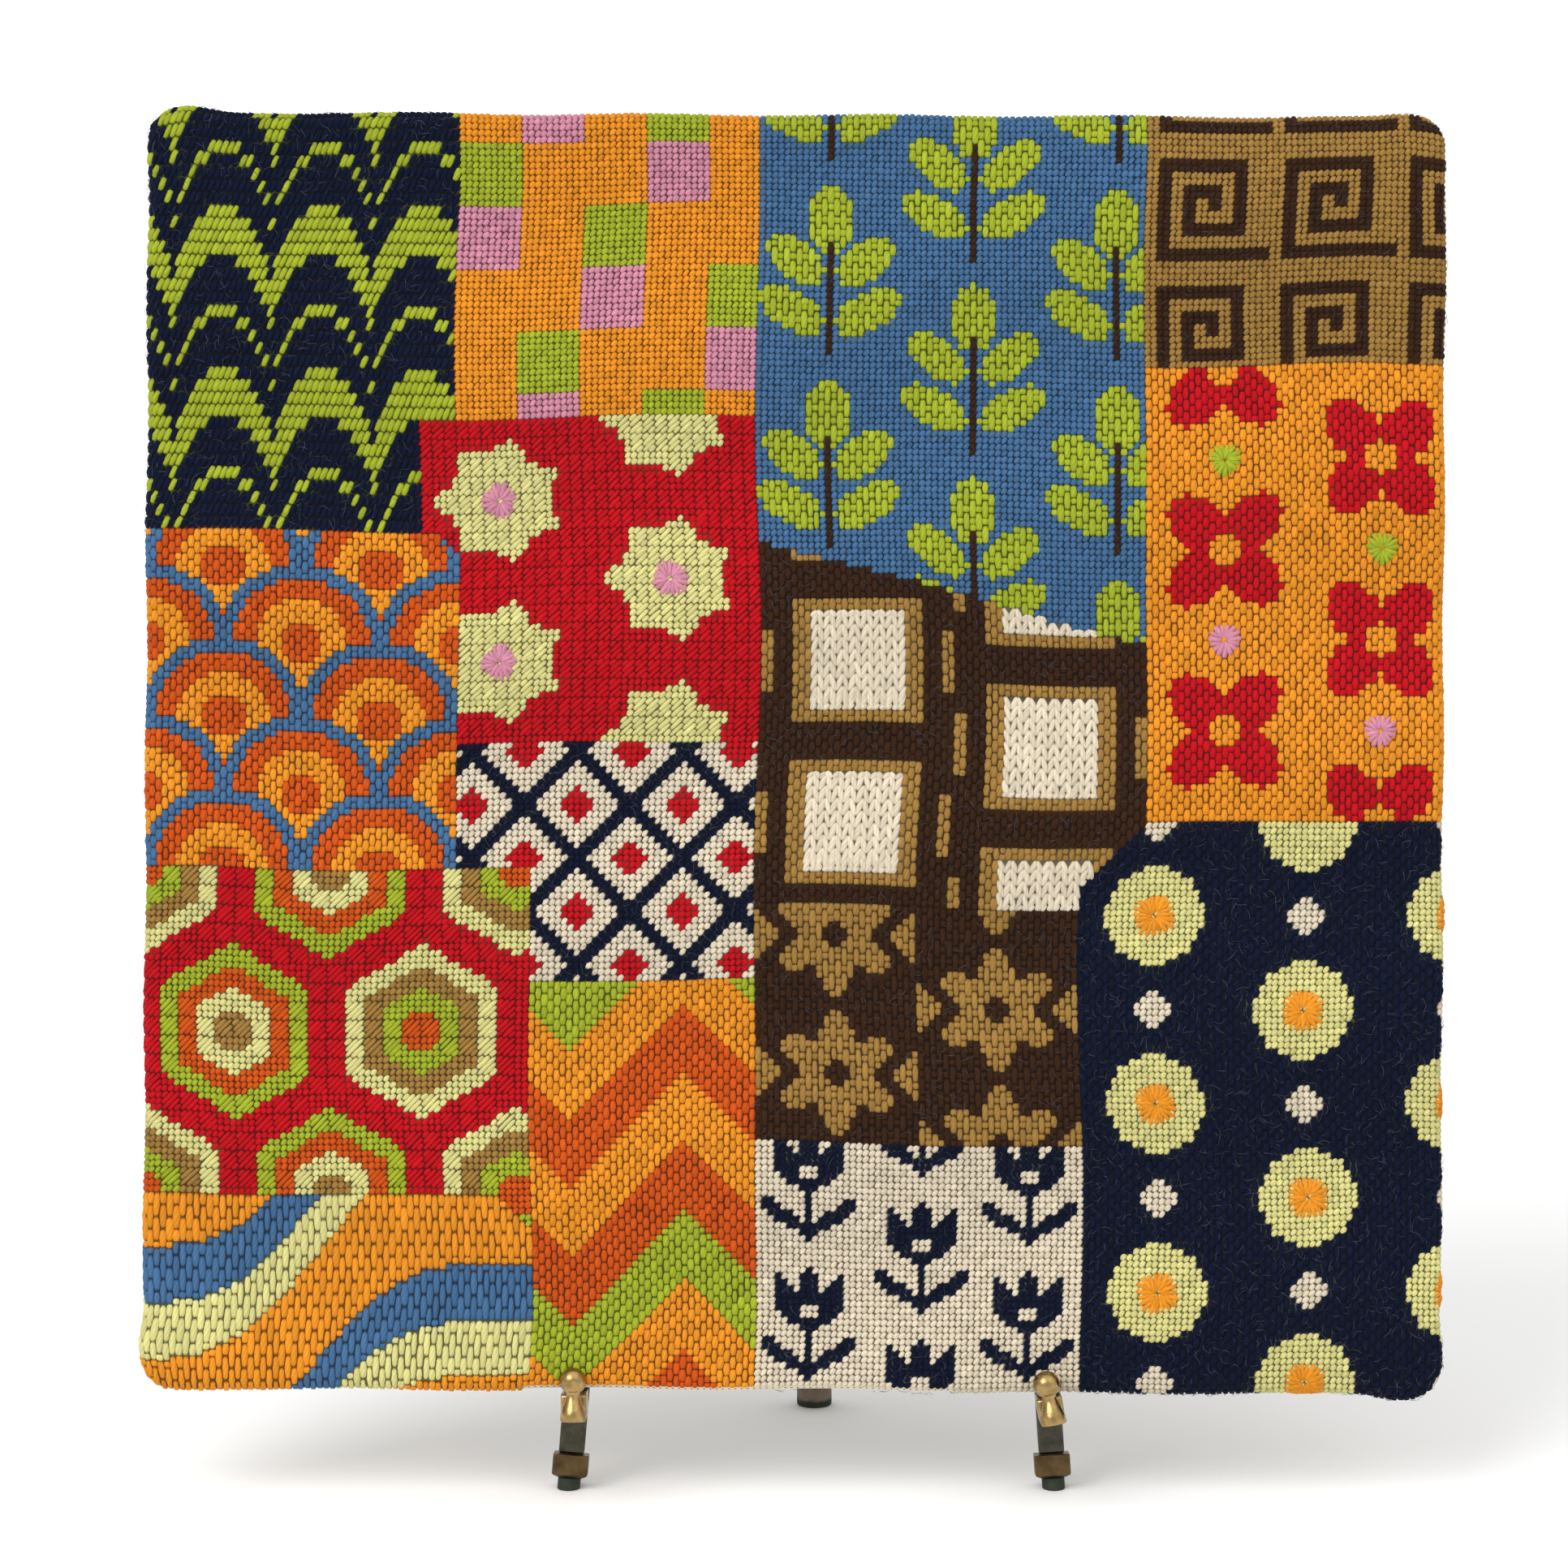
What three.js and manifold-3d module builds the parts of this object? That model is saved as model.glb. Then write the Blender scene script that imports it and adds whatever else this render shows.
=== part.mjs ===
// A square needlepoint canvas panel, stretched round its filling, on a brass display stand.
// Units are millimetres, +Z up. The viewer stands on the -Y side.
// The panel and the stand's front frame are drawn in a leaning group, whose own axes are:
// x to the right, y from the panel's face to its back, z up along the panel, with z = 0 at its bottom edge.

import * as THREE from 'three';
import { mergeVertices } from 'three/addons/utils/BufferGeometryUtils.js';
import Module from 'manifold-3d';

const wasm = await Module();
wasm.setup();

const degrees = Math.PI / 180;

// Driving dimensions
const GAP = 0.3;
const LEAN = 11 * degrees;
const PANEL_RISE = 36.4;

const PANEL = {
  width: 406,
  height: 399.5,
  thickness: 22,
  centreX: -7,
  roll: 0.25 * degrees,
  cornerRadius: 9,
  frontRound: 5,
  backRound: 3,
  crown: 1.2,
  edgeWave: 0.35,
  edgeWaves: 5.5,
  sideWavePhase: 1.1,
  endWavePhase: -0.7,
};

// Near each corner the spare canvas is folded in behind, and swells the edges outward.
// atEnd is the swell of the top or bottom edge there, atSide that of the left or right edge.
const SWELL_FROM_CORNER = 13.5;
const SWELL_SPREAD = 7.5;
const SWELL_REACH = 30;
const CORNERS = [
  { across: -1, up: 1, atEnd: 1.7, atSide: 0.6 },
  { across: 1, up: 1, atEnd: 1.0, atSide: 0.3 },
  { across: 1, up: -1, atEnd: 1.7, atSide: 0.8 },
  { across: -1, up: -1, atEnd: 0.4, atSide: 1.8 },
];

const BAR = 8;
const LEG_TOP = 197;
const CROSS_BAR_TOP = 186;
const CROSS_BAR_LOW = 46;
// armTurn turns an arm about its own length, and armDrop keeps its raised edge clear of the panel
const SIDES = [
  { name: 'left', armX: -75, splay: 4.8 * degrees, armTurn: 0, armDrop: 0 },
  { name: 'right', armX: 74, splay: -3.7 * degrees, armTurn: -11 * degrees, armDrop: 0.3 },
];

// Heights up the knob are measured from its underside, and ballRise from the arm's top
const KNOB = { ball: 4.2, neck: 2.2, base: 4, flareLow: 1.8, flareHigh: 8.4, ballRise: 4.7, forward: 5 };
const COLLAR = { width: 11.2, height: 7.4, chamferIn: 1.9, chamferUp: 0.9 };
const TIP = { radius: 3.6, height: 3.2, spare: 3 };
const REAR = { radius: 4, pastPin: 0.6, footX: 0.6, footY: 116 };
const CAP = { radius: 5.7, height: 16, floor: 4, topRound: 0.8, footIn: 0.3, footUp: 0.5, flatDepth: 1.1 };
const HINGE = { earThick: 3, earHeight: 11, earReach: 13, pinRadius: 1.6, pinHead: 2.6, headThick: 1.4 };

// Sides of the round pieces
const SEGMENTS = { knob: 20, pin: 20, ear: 10, tip: 24, rod: 24, cap: 28 };

const FINISHES = {
  wool: { color: 0xc9762e, roughness: 0.95, metalness: 0 },
  brass: { color: 0xb98a3c, roughness: 0.3, metalness: 1 },
  bronze: { color: 0x5f5648, roughness: 0.45, metalness: 1 },
  brownBrass: { color: 0x6b5127, roughness: 0.5, metalness: 1 },
  greenRubber: { color: 0x1c2a1c, roughness: 0.7, metalness: 0 },
  brownRubber: { color: 0x3f362c, roughness: 0.75, metalness: 0 },
};

function finish(name) {
  return new THREE.MeshStandardMaterial(FINISHES[name]);
}

// Solids for joining and cutting
function toSolid(geometry, matrix) {
  const plain = geometry.clone().applyMatrix4(matrix ?? new THREE.Matrix4());
  plain.deleteAttribute('normal');
  plain.deleteAttribute('uv');
  const merged = mergeVertices(plain, 1e-4);
  const vertProperties = new Float32Array(merged.attributes.position.array);
  const triVerts = new Uint32Array(merged.index.array);
  return new wasm.Manifold(new wasm.Mesh({ numProp: 3, vertProperties, triVerts }));
}

function toGeometry(solid) {
  const mesh = solid.getMesh();
  const geometry = new THREE.BufferGeometry();
  const points = [];
  for (let i = 0; i < mesh.vertProperties.length; i += mesh.numProp) {
    points.push(mesh.vertProperties[i], mesh.vertProperties[i + 1], mesh.vertProperties[i + 2]);
  }
  geometry.setAttribute('position', new THREE.Float32BufferAttribute(points, 3));
  geometry.setIndex(Array.from(mesh.triVerts));
  return geometry;
}

function named(name, geometry, material) {
  const mesh = new THREE.Mesh(geometry, material);
  mesh.name = name;
  return mesh;
}

// Panel
function smoothStep(t) {
  const s = THREE.MathUtils.clamp(t, 0, 1);
  return s * s * (3 - 2 * s);
}

// How much a point near an edge follows that edge's swell and wave: 0 well inside, 1 at the edge
function edgeShare(distanceFromMiddle, halfSize) {
  return smoothStep(1 - (halfSize - Math.abs(distanceFromMiddle)) / SWELL_REACH);
}

// Moves a point of the even panel, measured from its middle, to its place on the uneven one
function uneven(x, z) {
  const halfWidth = PANEL.width / 2;
  const halfHeight = PANEL.height / 2;
  let alongX = 0;
  let alongZ = 0;
  for (const corner of CORNERS) {
    const fromSide = Math.abs(x - corner.across * halfWidth);
    const fromEnd = Math.abs(z - corner.up * halfHeight);
    if (z * corner.up > 0) {
      const peak = ((fromSide - SWELL_FROM_CORNER) / SWELL_SPREAD) ** 2;
      alongZ += corner.up * corner.atEnd * Math.exp(-peak) * edgeShare(z, halfHeight);
    }
    if (x * corner.across > 0) {
      const peak = ((fromEnd - SWELL_FROM_CORNER) / SWELL_SPREAD) ** 2;
      alongX += corner.across * corner.atSide * Math.exp(-peak) * edgeShare(x, halfWidth);
    }
  }
  const turn = 2 * Math.PI * PANEL.edgeWaves;
  const sideWave = Math.sin((turn * z) / PANEL.height + PANEL.sideWavePhase * Math.sign(x));
  const endWave = Math.sin((turn * x) / PANEL.width + PANEL.endWavePhase * Math.sign(z));
  alongX += PANEL.edgeWave * sideWave * edgeShare(x, halfWidth);
  alongZ += PANEL.edgeWave * endWave * edgeShare(z, halfHeight);
  return [x + alongX, z + alongZ];
}

// Even outline of the panel, drawn in by inset, as points from its middle.
// The points lie closer together by the corners, where the edges swell.
function roundedOutline(inset) {
  const radius = PANEL.cornerRadius - inset;
  const farX = PANEL.width / 2 - PANEL.cornerRadius;
  const farZ = PANEL.height / 2 - PANEL.cornerRadius;
  const arcSteps = 5;
  const nearSteps = 7;
  const middleSteps = 10;
  const nearLength = 34;
  const points = [];
  const turns = [
    { x: farX, z: farZ, start: 0, alongX: -1, alongZ: 0, length: 2 * farX },
    { x: -farX, z: farZ, start: 90, alongX: 0, alongZ: -1, length: 2 * farZ },
    { x: -farX, z: -farZ, start: 180, alongX: 1, alongZ: 0, length: 2 * farX },
    { x: farX, z: -farZ, start: 270, alongX: 0, alongZ: 1, length: 2 * farZ },
  ];
  for (const turn of turns) {
    for (let i = 0; i <= arcSteps; i++) {
      const angle = (turn.start + (90 * i) / arcSteps) * degrees;
      points.push([turn.x + radius * Math.cos(angle), turn.z + radius * Math.sin(angle)]);
    }
    const [startX, startZ] = points[points.length - 1];
    const stops = [];
    for (let i = 1; i <= nearSteps; i++) stops.push((nearLength * i) / nearSteps);
    for (let i = 1; i < middleSteps; i++) {
      stops.push(nearLength + ((turn.length - 2 * nearLength) * i) / middleSteps);
    }
    for (let i = nearSteps; i >= 1; i--) stops.push(turn.length - (nearLength * i) / nearSteps);
    for (const along of stops) points.push([startX + turn.alongX * along, startZ + turn.alongZ * along]);
  }
  return points;
}

function panelGeometry() {
  const { width, height, thickness, frontRound, backRound, crown } = PANEL;
  const crownShares = [0.3, 0.6, 0.85];
  const bendAngles = [30, 60];
  const backShare = 0.5;
  const backHalfway = backRound * (1 - Math.SQRT1_2);
  const rings = [];
  const edge = roundedOutline(frontRound);
  const backEdge = roundedOutline(backRound);
  const addRing = (outline, y, share = 1) => rings.push({ outline, y, share });
  for (const share of crownShares) addRing(edge, 0, share);
  addRing(edge, 0);
  for (const angle of bendAngles) {
    const bend = angle * degrees;
    addRing(roundedOutline(frontRound * (1 - Math.sin(bend))), frontRound * (1 - Math.cos(bend)));
  }
  addRing(roundedOutline(0), frontRound);
  addRing(roundedOutline(0), thickness - backRound);
  addRing(roundedOutline(backHalfway), thickness - backHalfway);
  addRing(backEdge, thickness);
  addRing(backEdge, thickness, backShare);

  const count = edge.length;
  const points = [];
  const addPoint = (evenX, evenZ, y) => {
    const [x, z] = uneven(evenX, evenZ);
    const swellX = Math.max(0, 1 - (2 * evenX / width) ** 2);
    const swellZ = Math.max(0, 1 - (2 * evenZ / height) ** 2);
    const crowned = y < frontRound ? y - crown * swellX * swellZ : y;
    points.push(x, crowned, z);
  };
  addPoint(0, 0, 0);
  for (const ring of rings) {
    for (const [x, z] of ring.outline) addPoint(x * ring.share, z * ring.share, ring.y);
  }
  addPoint(0, 0, thickness);

  const triangles = [];
  const at = (ring, i) => 1 + ring * count + (i % count);
  for (let i = 0; i < count; i++) {
    triangles.push(0, at(0, i), at(0, i + 1));
    for (let ring = 0; ring + 1 < rings.length; ring++) {
      triangles.push(at(ring, i), at(ring + 1, i), at(ring + 1, i + 1));
      triangles.push(at(ring, i), at(ring + 1, i + 1), at(ring, i + 1));
    }
    triangles.push(at(rings.length - 1, i + 1), at(rings.length - 1, i), points.length / 3 - 1);
  }
  const geometry = new THREE.BufferGeometry();
  geometry.setAttribute('position', new THREE.Float32BufferAttribute(points, 3));
  geometry.setIndex(triangles);
  return geometry;
}

function makePanel() {
  const panel = named('panel', panelGeometry(), finish('wool'));
  panel.rotation.y = PANEL.roll;
  const middle = new THREE.Vector3(0, 0, PANEL.height / 2).applyEuler(panel.rotation);
  panel.position.set(PANEL.centreX + middle.x, 0, middle.z);
  return panel;
}

// Height of the panel's bottom edge above z = 0, in the leaning group
function seatHeight(x) {
  return -(x - PANEL.centreX) * Math.sin(PANEL.roll) - PANEL.edgeWave;
}

// Front frame of the stand
const legFront = PANEL.thickness + GAP;
const legMiddle = legFront + BAR / 2;

function armTop(side) {
  return seatHeight(side.armX) - GAP - side.armDrop;
}

// Middle line of a leg, at height z in the leaning group
function legX(side, z) {
  return side.armX + (z - armTop(side) + BAR / 2) * Math.tan(side.splay);
}

// Length of a leg's middle line from its arm's middle down to the surface that it stands on
function legDrop(side) {
  const floorZ = -(PANEL_RISE - legMiddle * Math.sin(LEAN)) / Math.cos(LEAN);
  return (armTop(side) - BAR / 2 - floorZ) / Math.cos(side.splay);
}

// Places what belongs to a leg: z along the leg, measured from its arm's middle
function onLeg(mesh, side, along) {
  mesh.rotation.y = side.splay;
  const shift = new THREE.Vector3(0, 0, along).applyEuler(mesh.rotation);
  mesh.position.set(side.armX + shift.x, legMiddle, armTop(side) - BAR / 2 + shift.z);
  return mesh;
}

function makeLeg(side) {
  const low = -legDrop(side) + TIP.height + COLLAR.height + 2 * GAP;
  const high = (LEG_TOP - armTop(side)) / Math.cos(side.splay);
  const leg = named(`leg_${side.name}`, new THREE.BoxGeometry(BAR, BAR, high - low), finish('bronze'));
  return onLeg(leg, side, (high + low) / 2);
}

// A square block, turned to its four flat sides, with its lower edges cut away
function makeCollar(side) {
  const corner = COLLAR.width / Math.SQRT2;
  const lowCorner = (COLLAR.width - 2 * COLLAR.chamferIn) / Math.SQRT2;
  const profile = [
    new THREE.Vector2(0, 0),
    new THREE.Vector2(lowCorner, 0),
    new THREE.Vector2(corner, COLLAR.chamferUp),
    new THREE.Vector2(corner, COLLAR.height),
    new THREE.Vector2(0, COLLAR.height),
  ];
  const geometry = new THREE.LatheGeometry(profile, 4, Math.PI / 4).rotateX(Math.PI / 2);
  const collar = named(`collar_${side.name}`, geometry, finish('brownBrass'));
  return onLeg(collar, side, -legDrop(side) + TIP.height + GAP);
}

// The square bar under the panel, from the knob's back to the leg's face, turned about its own length
function makeArm(side) {
  const front = -KNOB.forward + KNOB.base + GAP;
  const length = legFront - GAP - front;
  const arm = named(`arm_${side.name}`, new THREE.BoxGeometry(BAR, length, BAR), finish('brass'));
  arm.position.set(side.armX, front + length / 2, armTop(side) - BAR / 2);
  arm.rotation.y = side.armTurn;
  return arm;
}

// Neck and ball in one turned piece, standing on the arm's front end. A long soft flare runs up to the neck.
function makeKnob(side) {
  const profile = [new THREE.Vector2(0, 0), new THREE.Vector2(KNOB.base, 0)];
  const flareSteps = 8;
  for (let i = 0; i <= flareSteps; i++) {
    const share = i / flareSteps;
    const taper = (1 + Math.cos(Math.PI * share)) / 2;
    const height = THREE.MathUtils.lerp(KNOB.flareLow, KNOB.flareHigh, share);
    profile.push(new THREE.Vector2(KNOB.neck + (KNOB.base - KNOB.neck) * taper, height));
  }
  const ballMiddle = BAR + KNOB.ballRise;
  const neckAngle = Math.asin(KNOB.neck / KNOB.ball);
  const ballSteps = 9;
  for (let i = 0; i <= ballSteps; i++) {
    const angle = neckAngle + ((Math.PI - neckAngle) * i) / ballSteps;
    const radius = i === ballSteps ? 0 : KNOB.ball * Math.sin(angle);
    profile.push(new THREE.Vector2(radius, ballMiddle - KNOB.ball * Math.cos(angle)));
  }
  const geometry = new THREE.LatheGeometry(profile, SEGMENTS.knob).rotateX(Math.PI / 2);
  geometry.translate(0, 0, -BAR / 2);
  const knob = named(`knob_${side.name}`, geometry, finish('brass'));
  knob.position.set(side.armX, -KNOB.forward, armTop(side) - BAR / 2);
  knob.rotation.y = side.armTurn;
  return knob;
}

// A bar between the two legs, its ends cut to their splay
function makeCrossBar(name, z) {
  const [left, right] = SIDES;
  const ends = (height) => {
    const leftEnd = legX(left, height) + BAR / 2 / Math.cos(left.splay) + GAP;
    const rightEnd = legX(right, height) - BAR / 2 / Math.cos(right.splay) - GAP;
    return [leftEnd, rightEnd];
  };
  const [lowLeft, lowRight] = ends(z - BAR / 2);
  const [highLeft, highRight] = ends(z + BAR / 2);
  const outline = new THREE.Shape([
    new THREE.Vector2(lowLeft, z - BAR / 2),
    new THREE.Vector2(lowRight, z - BAR / 2),
    new THREE.Vector2(highRight, z + BAR / 2),
    new THREE.Vector2(highLeft, z + BAR / 2),
  ]);
  const geometry = new THREE.ExtrudeGeometry(outline, { depth: BAR, bevelEnabled: false }).rotateX(Math.PI / 2);
  geometry.translate(0, legFront + BAR, 0);
  return named(name, geometry, finish('bronze'));
}

// Hinge of the rear leg, behind the top cross bar
const hingeX = REAR.footX;
const hingeY = legFront + BAR + GAP + HINGE.earReach - HINGE.earHeight / 2;
const hingeZ = CROSS_BAR_TOP;
const earX = REAR.radius + GAP + HINGE.earThick / 2;

function crossways(radius, length) {
  return new THREE.CylinderGeometry(radius, radius, length, SEGMENTS.pin).rotateZ(Math.PI / 2);
}

function makeEar(name, acrossX) {
  const back = hingeY;
  const front = legFront + BAR + GAP;
  const half = HINGE.earHeight / 2;
  const outline = new THREE.Shape();
  outline.moveTo(front, -half);
  outline.lineTo(back, -half);
  outline.absarc(back, 0, half, -Math.PI / 2, Math.PI / 2, false);
  outline.lineTo(front, half);
  const plate = new THREE.ExtrudeGeometry(outline, {
    depth: HINGE.earThick,
    bevelEnabled: false,
    curveSegments: SEGMENTS.ear,
  });
  plate.translate(0, 0, -HINGE.earThick / 2);
  const upright = new THREE.Matrix4().makeBasis(
    new THREE.Vector3(0, 1, 0),
    new THREE.Vector3(0, 0, 1),
    new THREE.Vector3(1, 0, 0),
  );
  const hole = new THREE.Matrix4().makeTranslation(0, hingeY, 0);
  const solid = toSolid(plate, upright).subtract(toSolid(crossways(HINGE.pinRadius + GAP, BAR), hole));
  const ear = named(name, toGeometry(solid), finish('bronze'));
  ear.position.set(acrossX, 0, hingeZ);
  return ear;
}

function makePin() {
  const halfSpan = earX + HINGE.earThick / 2 + GAP;
  const profile = [
    new THREE.Vector2(0, -halfSpan - HINGE.headThick),
    new THREE.Vector2(HINGE.pinHead, -halfSpan - HINGE.headThick),
    new THREE.Vector2(HINGE.pinHead, -halfSpan),
    new THREE.Vector2(HINGE.pinRadius, -halfSpan),
    new THREE.Vector2(HINGE.pinRadius, halfSpan),
    new THREE.Vector2(HINGE.pinHead, halfSpan),
    new THREE.Vector2(HINGE.pinHead, halfSpan + HINGE.headThick),
    new THREE.Vector2(0, halfSpan + HINGE.headThick),
  ];
  const geometry = new THREE.LatheGeometry(profile, SEGMENTS.pin).rotateZ(-Math.PI / 2);
  const pin = named('hinge_pin', geometry, finish('brass'));
  pin.position.set(hingeX, hingeY, hingeZ);
  return pin;
}

// Upright world, with the leaning group's origin at the height of the panel's bottom edge
const leanMatrix = new THREE.Matrix4().makeRotationX(-LEAN).setPosition(0, 0, PANEL_RISE);

// Cuts away what lies below the surface that the stand rests on
function trimmedFlat(geometry, toUpright) {
  const size = 100;
  const below = new THREE.BoxGeometry(size, size, size);
  const centre = new THREE.Vector3().setFromMatrixPosition(toUpright);
  const place = new THREE.Matrix4().makeTranslation(centre.x, centre.y, -size / 2);
  return toGeometry(toSolid(geometry, toUpright).subtract(toSolid(below, place)));
}

function makeTip(side) {
  const overlong = TIP.height + TIP.spare;
  const geometry = new THREE.CylinderGeometry(TIP.radius, TIP.radius, overlong, SEGMENTS.tip).rotateX(Math.PI / 2);
  const stand = onLeg(new THREE.Object3D(), side, -legDrop(side) + TIP.height - overlong / 2);
  stand.updateMatrix();
  const toUpright = leanMatrix.clone().multiply(stand.matrix);
  return named(`tip_${side.name}`, trimmedFlat(geometry, toUpright), finish('greenRubber'));
}

// Rear leg: a round rod from the hinge down and back to its rubber cap
const hingePoint = new THREE.Vector3(hingeX, hingeY, hingeZ).applyMatrix4(leanMatrix);
const rearFoot = new THREE.Vector3(REAR.footX, REAR.footY, 0);
const rearAxis = hingePoint.clone().sub(rearFoot).normalize();
const rearSlant = Math.acos(rearAxis.z);
const rearLift = CAP.radius * Math.sin(rearSlant) - CAP.flatDepth;

function alongRear() {
  const turn = new THREE.Quaternion().setFromUnitVectors(new THREE.Vector3(0, 0, 1), rearAxis);
  const start = rearFoot.clone().addScaledVector(rearAxis, rearLift / rearAxis.z);
  return new THREE.Matrix4().compose(start, turn, new THREE.Vector3(1, 1, 1));
}

function makeRearLeg() {
  const low = CAP.floor + GAP;
  const start = new THREE.Vector3().setFromMatrixPosition(alongRear());
  const high = hingePoint.distanceTo(start) + REAR.radius + REAR.pastPin;
  const rod = new THREE.CylinderGeometry(REAR.radius, REAR.radius, high - low, SEGMENTS.rod).rotateX(Math.PI / 2);
  rod.translate(0, 0, (high + low) / 2);
  const hole = new THREE.Matrix4().makeTranslation(hingePoint.x, hingePoint.y, hingePoint.z);
  const holeLength = 4 * REAR.radius;
  const solid = toSolid(rod, alongRear()).subtract(toSolid(crossways(HINGE.pinRadius + GAP, holeLength), hole));
  return named('rear_leg', toGeometry(solid), finish('bronze'));
}

function makeRearCap() {
  const profile = [
    new THREE.Vector2(0, 0),
    new THREE.Vector2(CAP.radius - CAP.footIn, 0),
    new THREE.Vector2(CAP.radius, CAP.footUp),
    new THREE.Vector2(CAP.radius, CAP.height - CAP.topRound),
    new THREE.Vector2(CAP.radius - CAP.topRound, CAP.height),
    new THREE.Vector2(REAR.radius + GAP, CAP.height),
    new THREE.Vector2(REAR.radius + GAP, CAP.floor),
    new THREE.Vector2(0, CAP.floor),
  ];
  const geometry = new THREE.LatheGeometry(profile, SEGMENTS.cap).rotateX(Math.PI / 2);
  return named('rear_cap', trimmedFlat(geometry, alongRear()), finish('brownRubber'));
}

// Assembly
const leaning = new THREE.Group();
leaning.rotation.x = -LEAN;
leaning.position.z = PANEL_RISE;
leaning.add(makePanel());
for (const side of SIDES) leaning.add(makeLeg(side), makeArm(side), makeKnob(side), makeCollar(side));
leaning.add(makeCrossBar('cross_bar_top', CROSS_BAR_TOP), makeCrossBar('cross_bar_low', CROSS_BAR_LOW));
leaning.add(makeEar('hinge_ear_left', hingeX - earX), makeEar('hinge_ear_right', hingeX + earX), makePin());

const model = new THREE.Group();
model.add(leaning, makeRearLeg(), makeRearCap());
for (const side of SIDES) model.add(makeTip(side));

// The origin is at the middle of the whole's box, at the surface that it rests on
model.updateMatrixWorld(true);
const whole = new THREE.Box3().setFromObject(model, true);
model.position.set(-(whole.min.x + whole.max.x) / 2, -(whole.min.y + whole.max.y) / 2, -whole.min.z);
model.updateMatrixWorld(true);

export default model;
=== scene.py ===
import math

import bpy
import numpy as np
from mathutils import Matrix, Vector


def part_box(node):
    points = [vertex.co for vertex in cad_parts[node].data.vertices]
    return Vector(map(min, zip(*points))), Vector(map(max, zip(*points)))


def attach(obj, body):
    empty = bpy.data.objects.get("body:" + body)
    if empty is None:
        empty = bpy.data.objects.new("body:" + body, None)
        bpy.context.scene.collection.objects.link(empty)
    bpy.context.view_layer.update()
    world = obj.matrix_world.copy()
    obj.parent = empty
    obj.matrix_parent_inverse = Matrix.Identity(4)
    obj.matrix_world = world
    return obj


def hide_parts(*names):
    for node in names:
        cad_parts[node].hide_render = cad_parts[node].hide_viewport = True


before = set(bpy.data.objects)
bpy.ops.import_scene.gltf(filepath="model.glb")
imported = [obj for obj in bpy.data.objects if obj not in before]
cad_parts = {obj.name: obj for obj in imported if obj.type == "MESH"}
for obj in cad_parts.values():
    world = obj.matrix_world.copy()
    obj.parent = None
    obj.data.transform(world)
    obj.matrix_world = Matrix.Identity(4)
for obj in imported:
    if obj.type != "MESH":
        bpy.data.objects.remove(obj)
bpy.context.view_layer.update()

# A needlepoint panel on a brass display stand. Lengths are in millimetres until they go to Blender.
# The panel and the stand's front frame lie in a leaning frame: x to the right, y from the panel's face to its
# back, z up along the panel from its bottom edge. Stitches are counted in cells, from the panel's lower left.

MM = 0.001

LEAN = math.radians(11)
HINGE_PLACE = (0.6, 38.1, 186.0)
WIDTH, HEIGHT, THICKNESS = 406.0, 399.5, 22.0
CENTRE_X = -7.0
ROLL = math.radians(0.25)
CORNER_RADIUS = 9.0
# The middles of the corners' rounds, from the panel's middle
CORE = np.array([WIDTH / 2 - CORNER_RADIUS, HEIGHT / 2 - CORNER_RADIUS])
CROWN, CROWN_DEPTH = 1.2, 5
EDGE_WAVE, EDGE_WAVES = 0.35, 5.5
SWELL_FROM_CORNER, SWELL_SPREAD, SWELL_REACH = 13.5, 7.5, 30.0
# across, up, swell of the top or bottom edge, swell of the left or right edge
CORNERS = [(-1, 1, 1.7, 0.6), (1, 1, 1.0, 0.3), (1, -1, 1.7, 0.8), (-1, -1, 0.4, 1.8)]

# The canvas lies under the wool, so its bends are tighter than the finished panel's
PILE = 0.9
FACE_ROLL = 5.0
FRONT_BEND = FACE_ROLL - PILE
BACK_BEND = 2.1
FLAT_RIM = CORNER_RADIUS - FACE_ROLL
SIDE_DEPTH = 14.0
MARGIN = 24.0
QUARTER = math.pi / 2

# The mesh of the canvas: 13 threads to the inch, worked a few cells beyond the face, round its side
CELL = 1.952
CELLS_ACROSS, CELLS_UP = 208, 205
MIDDLE_CELL = np.array([CELLS_ACROSS / 2, CELLS_UP / 2])
ROUND_SIDE = 5
WORKED = (MIDDLE_CELL + ROUND_SIDE) * CELL
# How far out of the middle of a corner's round the canvas is worked
WORKED_REACH = WORKED[1] - CORE[1]

random = np.random.default_rng(13)


# Places

def lean(x, y, z):
    """A point or direction of the leaning frame, turned upright."""
    return np.stack([
        x,
        y * math.cos(LEAN) + z * math.sin(LEAN),
        z * math.cos(LEAN) - y * math.sin(LEAN),
    ], axis=-1)


def leaning_origin():
    """Where the leaning frame's origin lies, found from the hinge pin."""
    low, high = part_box("hinge_pin")
    return np.array((low + high) / 2) / MM - lean(*HINGE_PLACE)


ORIGIN = leaning_origin()


def edge_share(distance, half):
    """How far a point follows the unevenness of its edge: 0 well inside, 1 at the edge."""
    share = np.clip(1 - (half - np.abs(distance)) / SWELL_REACH, 0, 1)
    return share * share * (3 - 2 * share)


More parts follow.
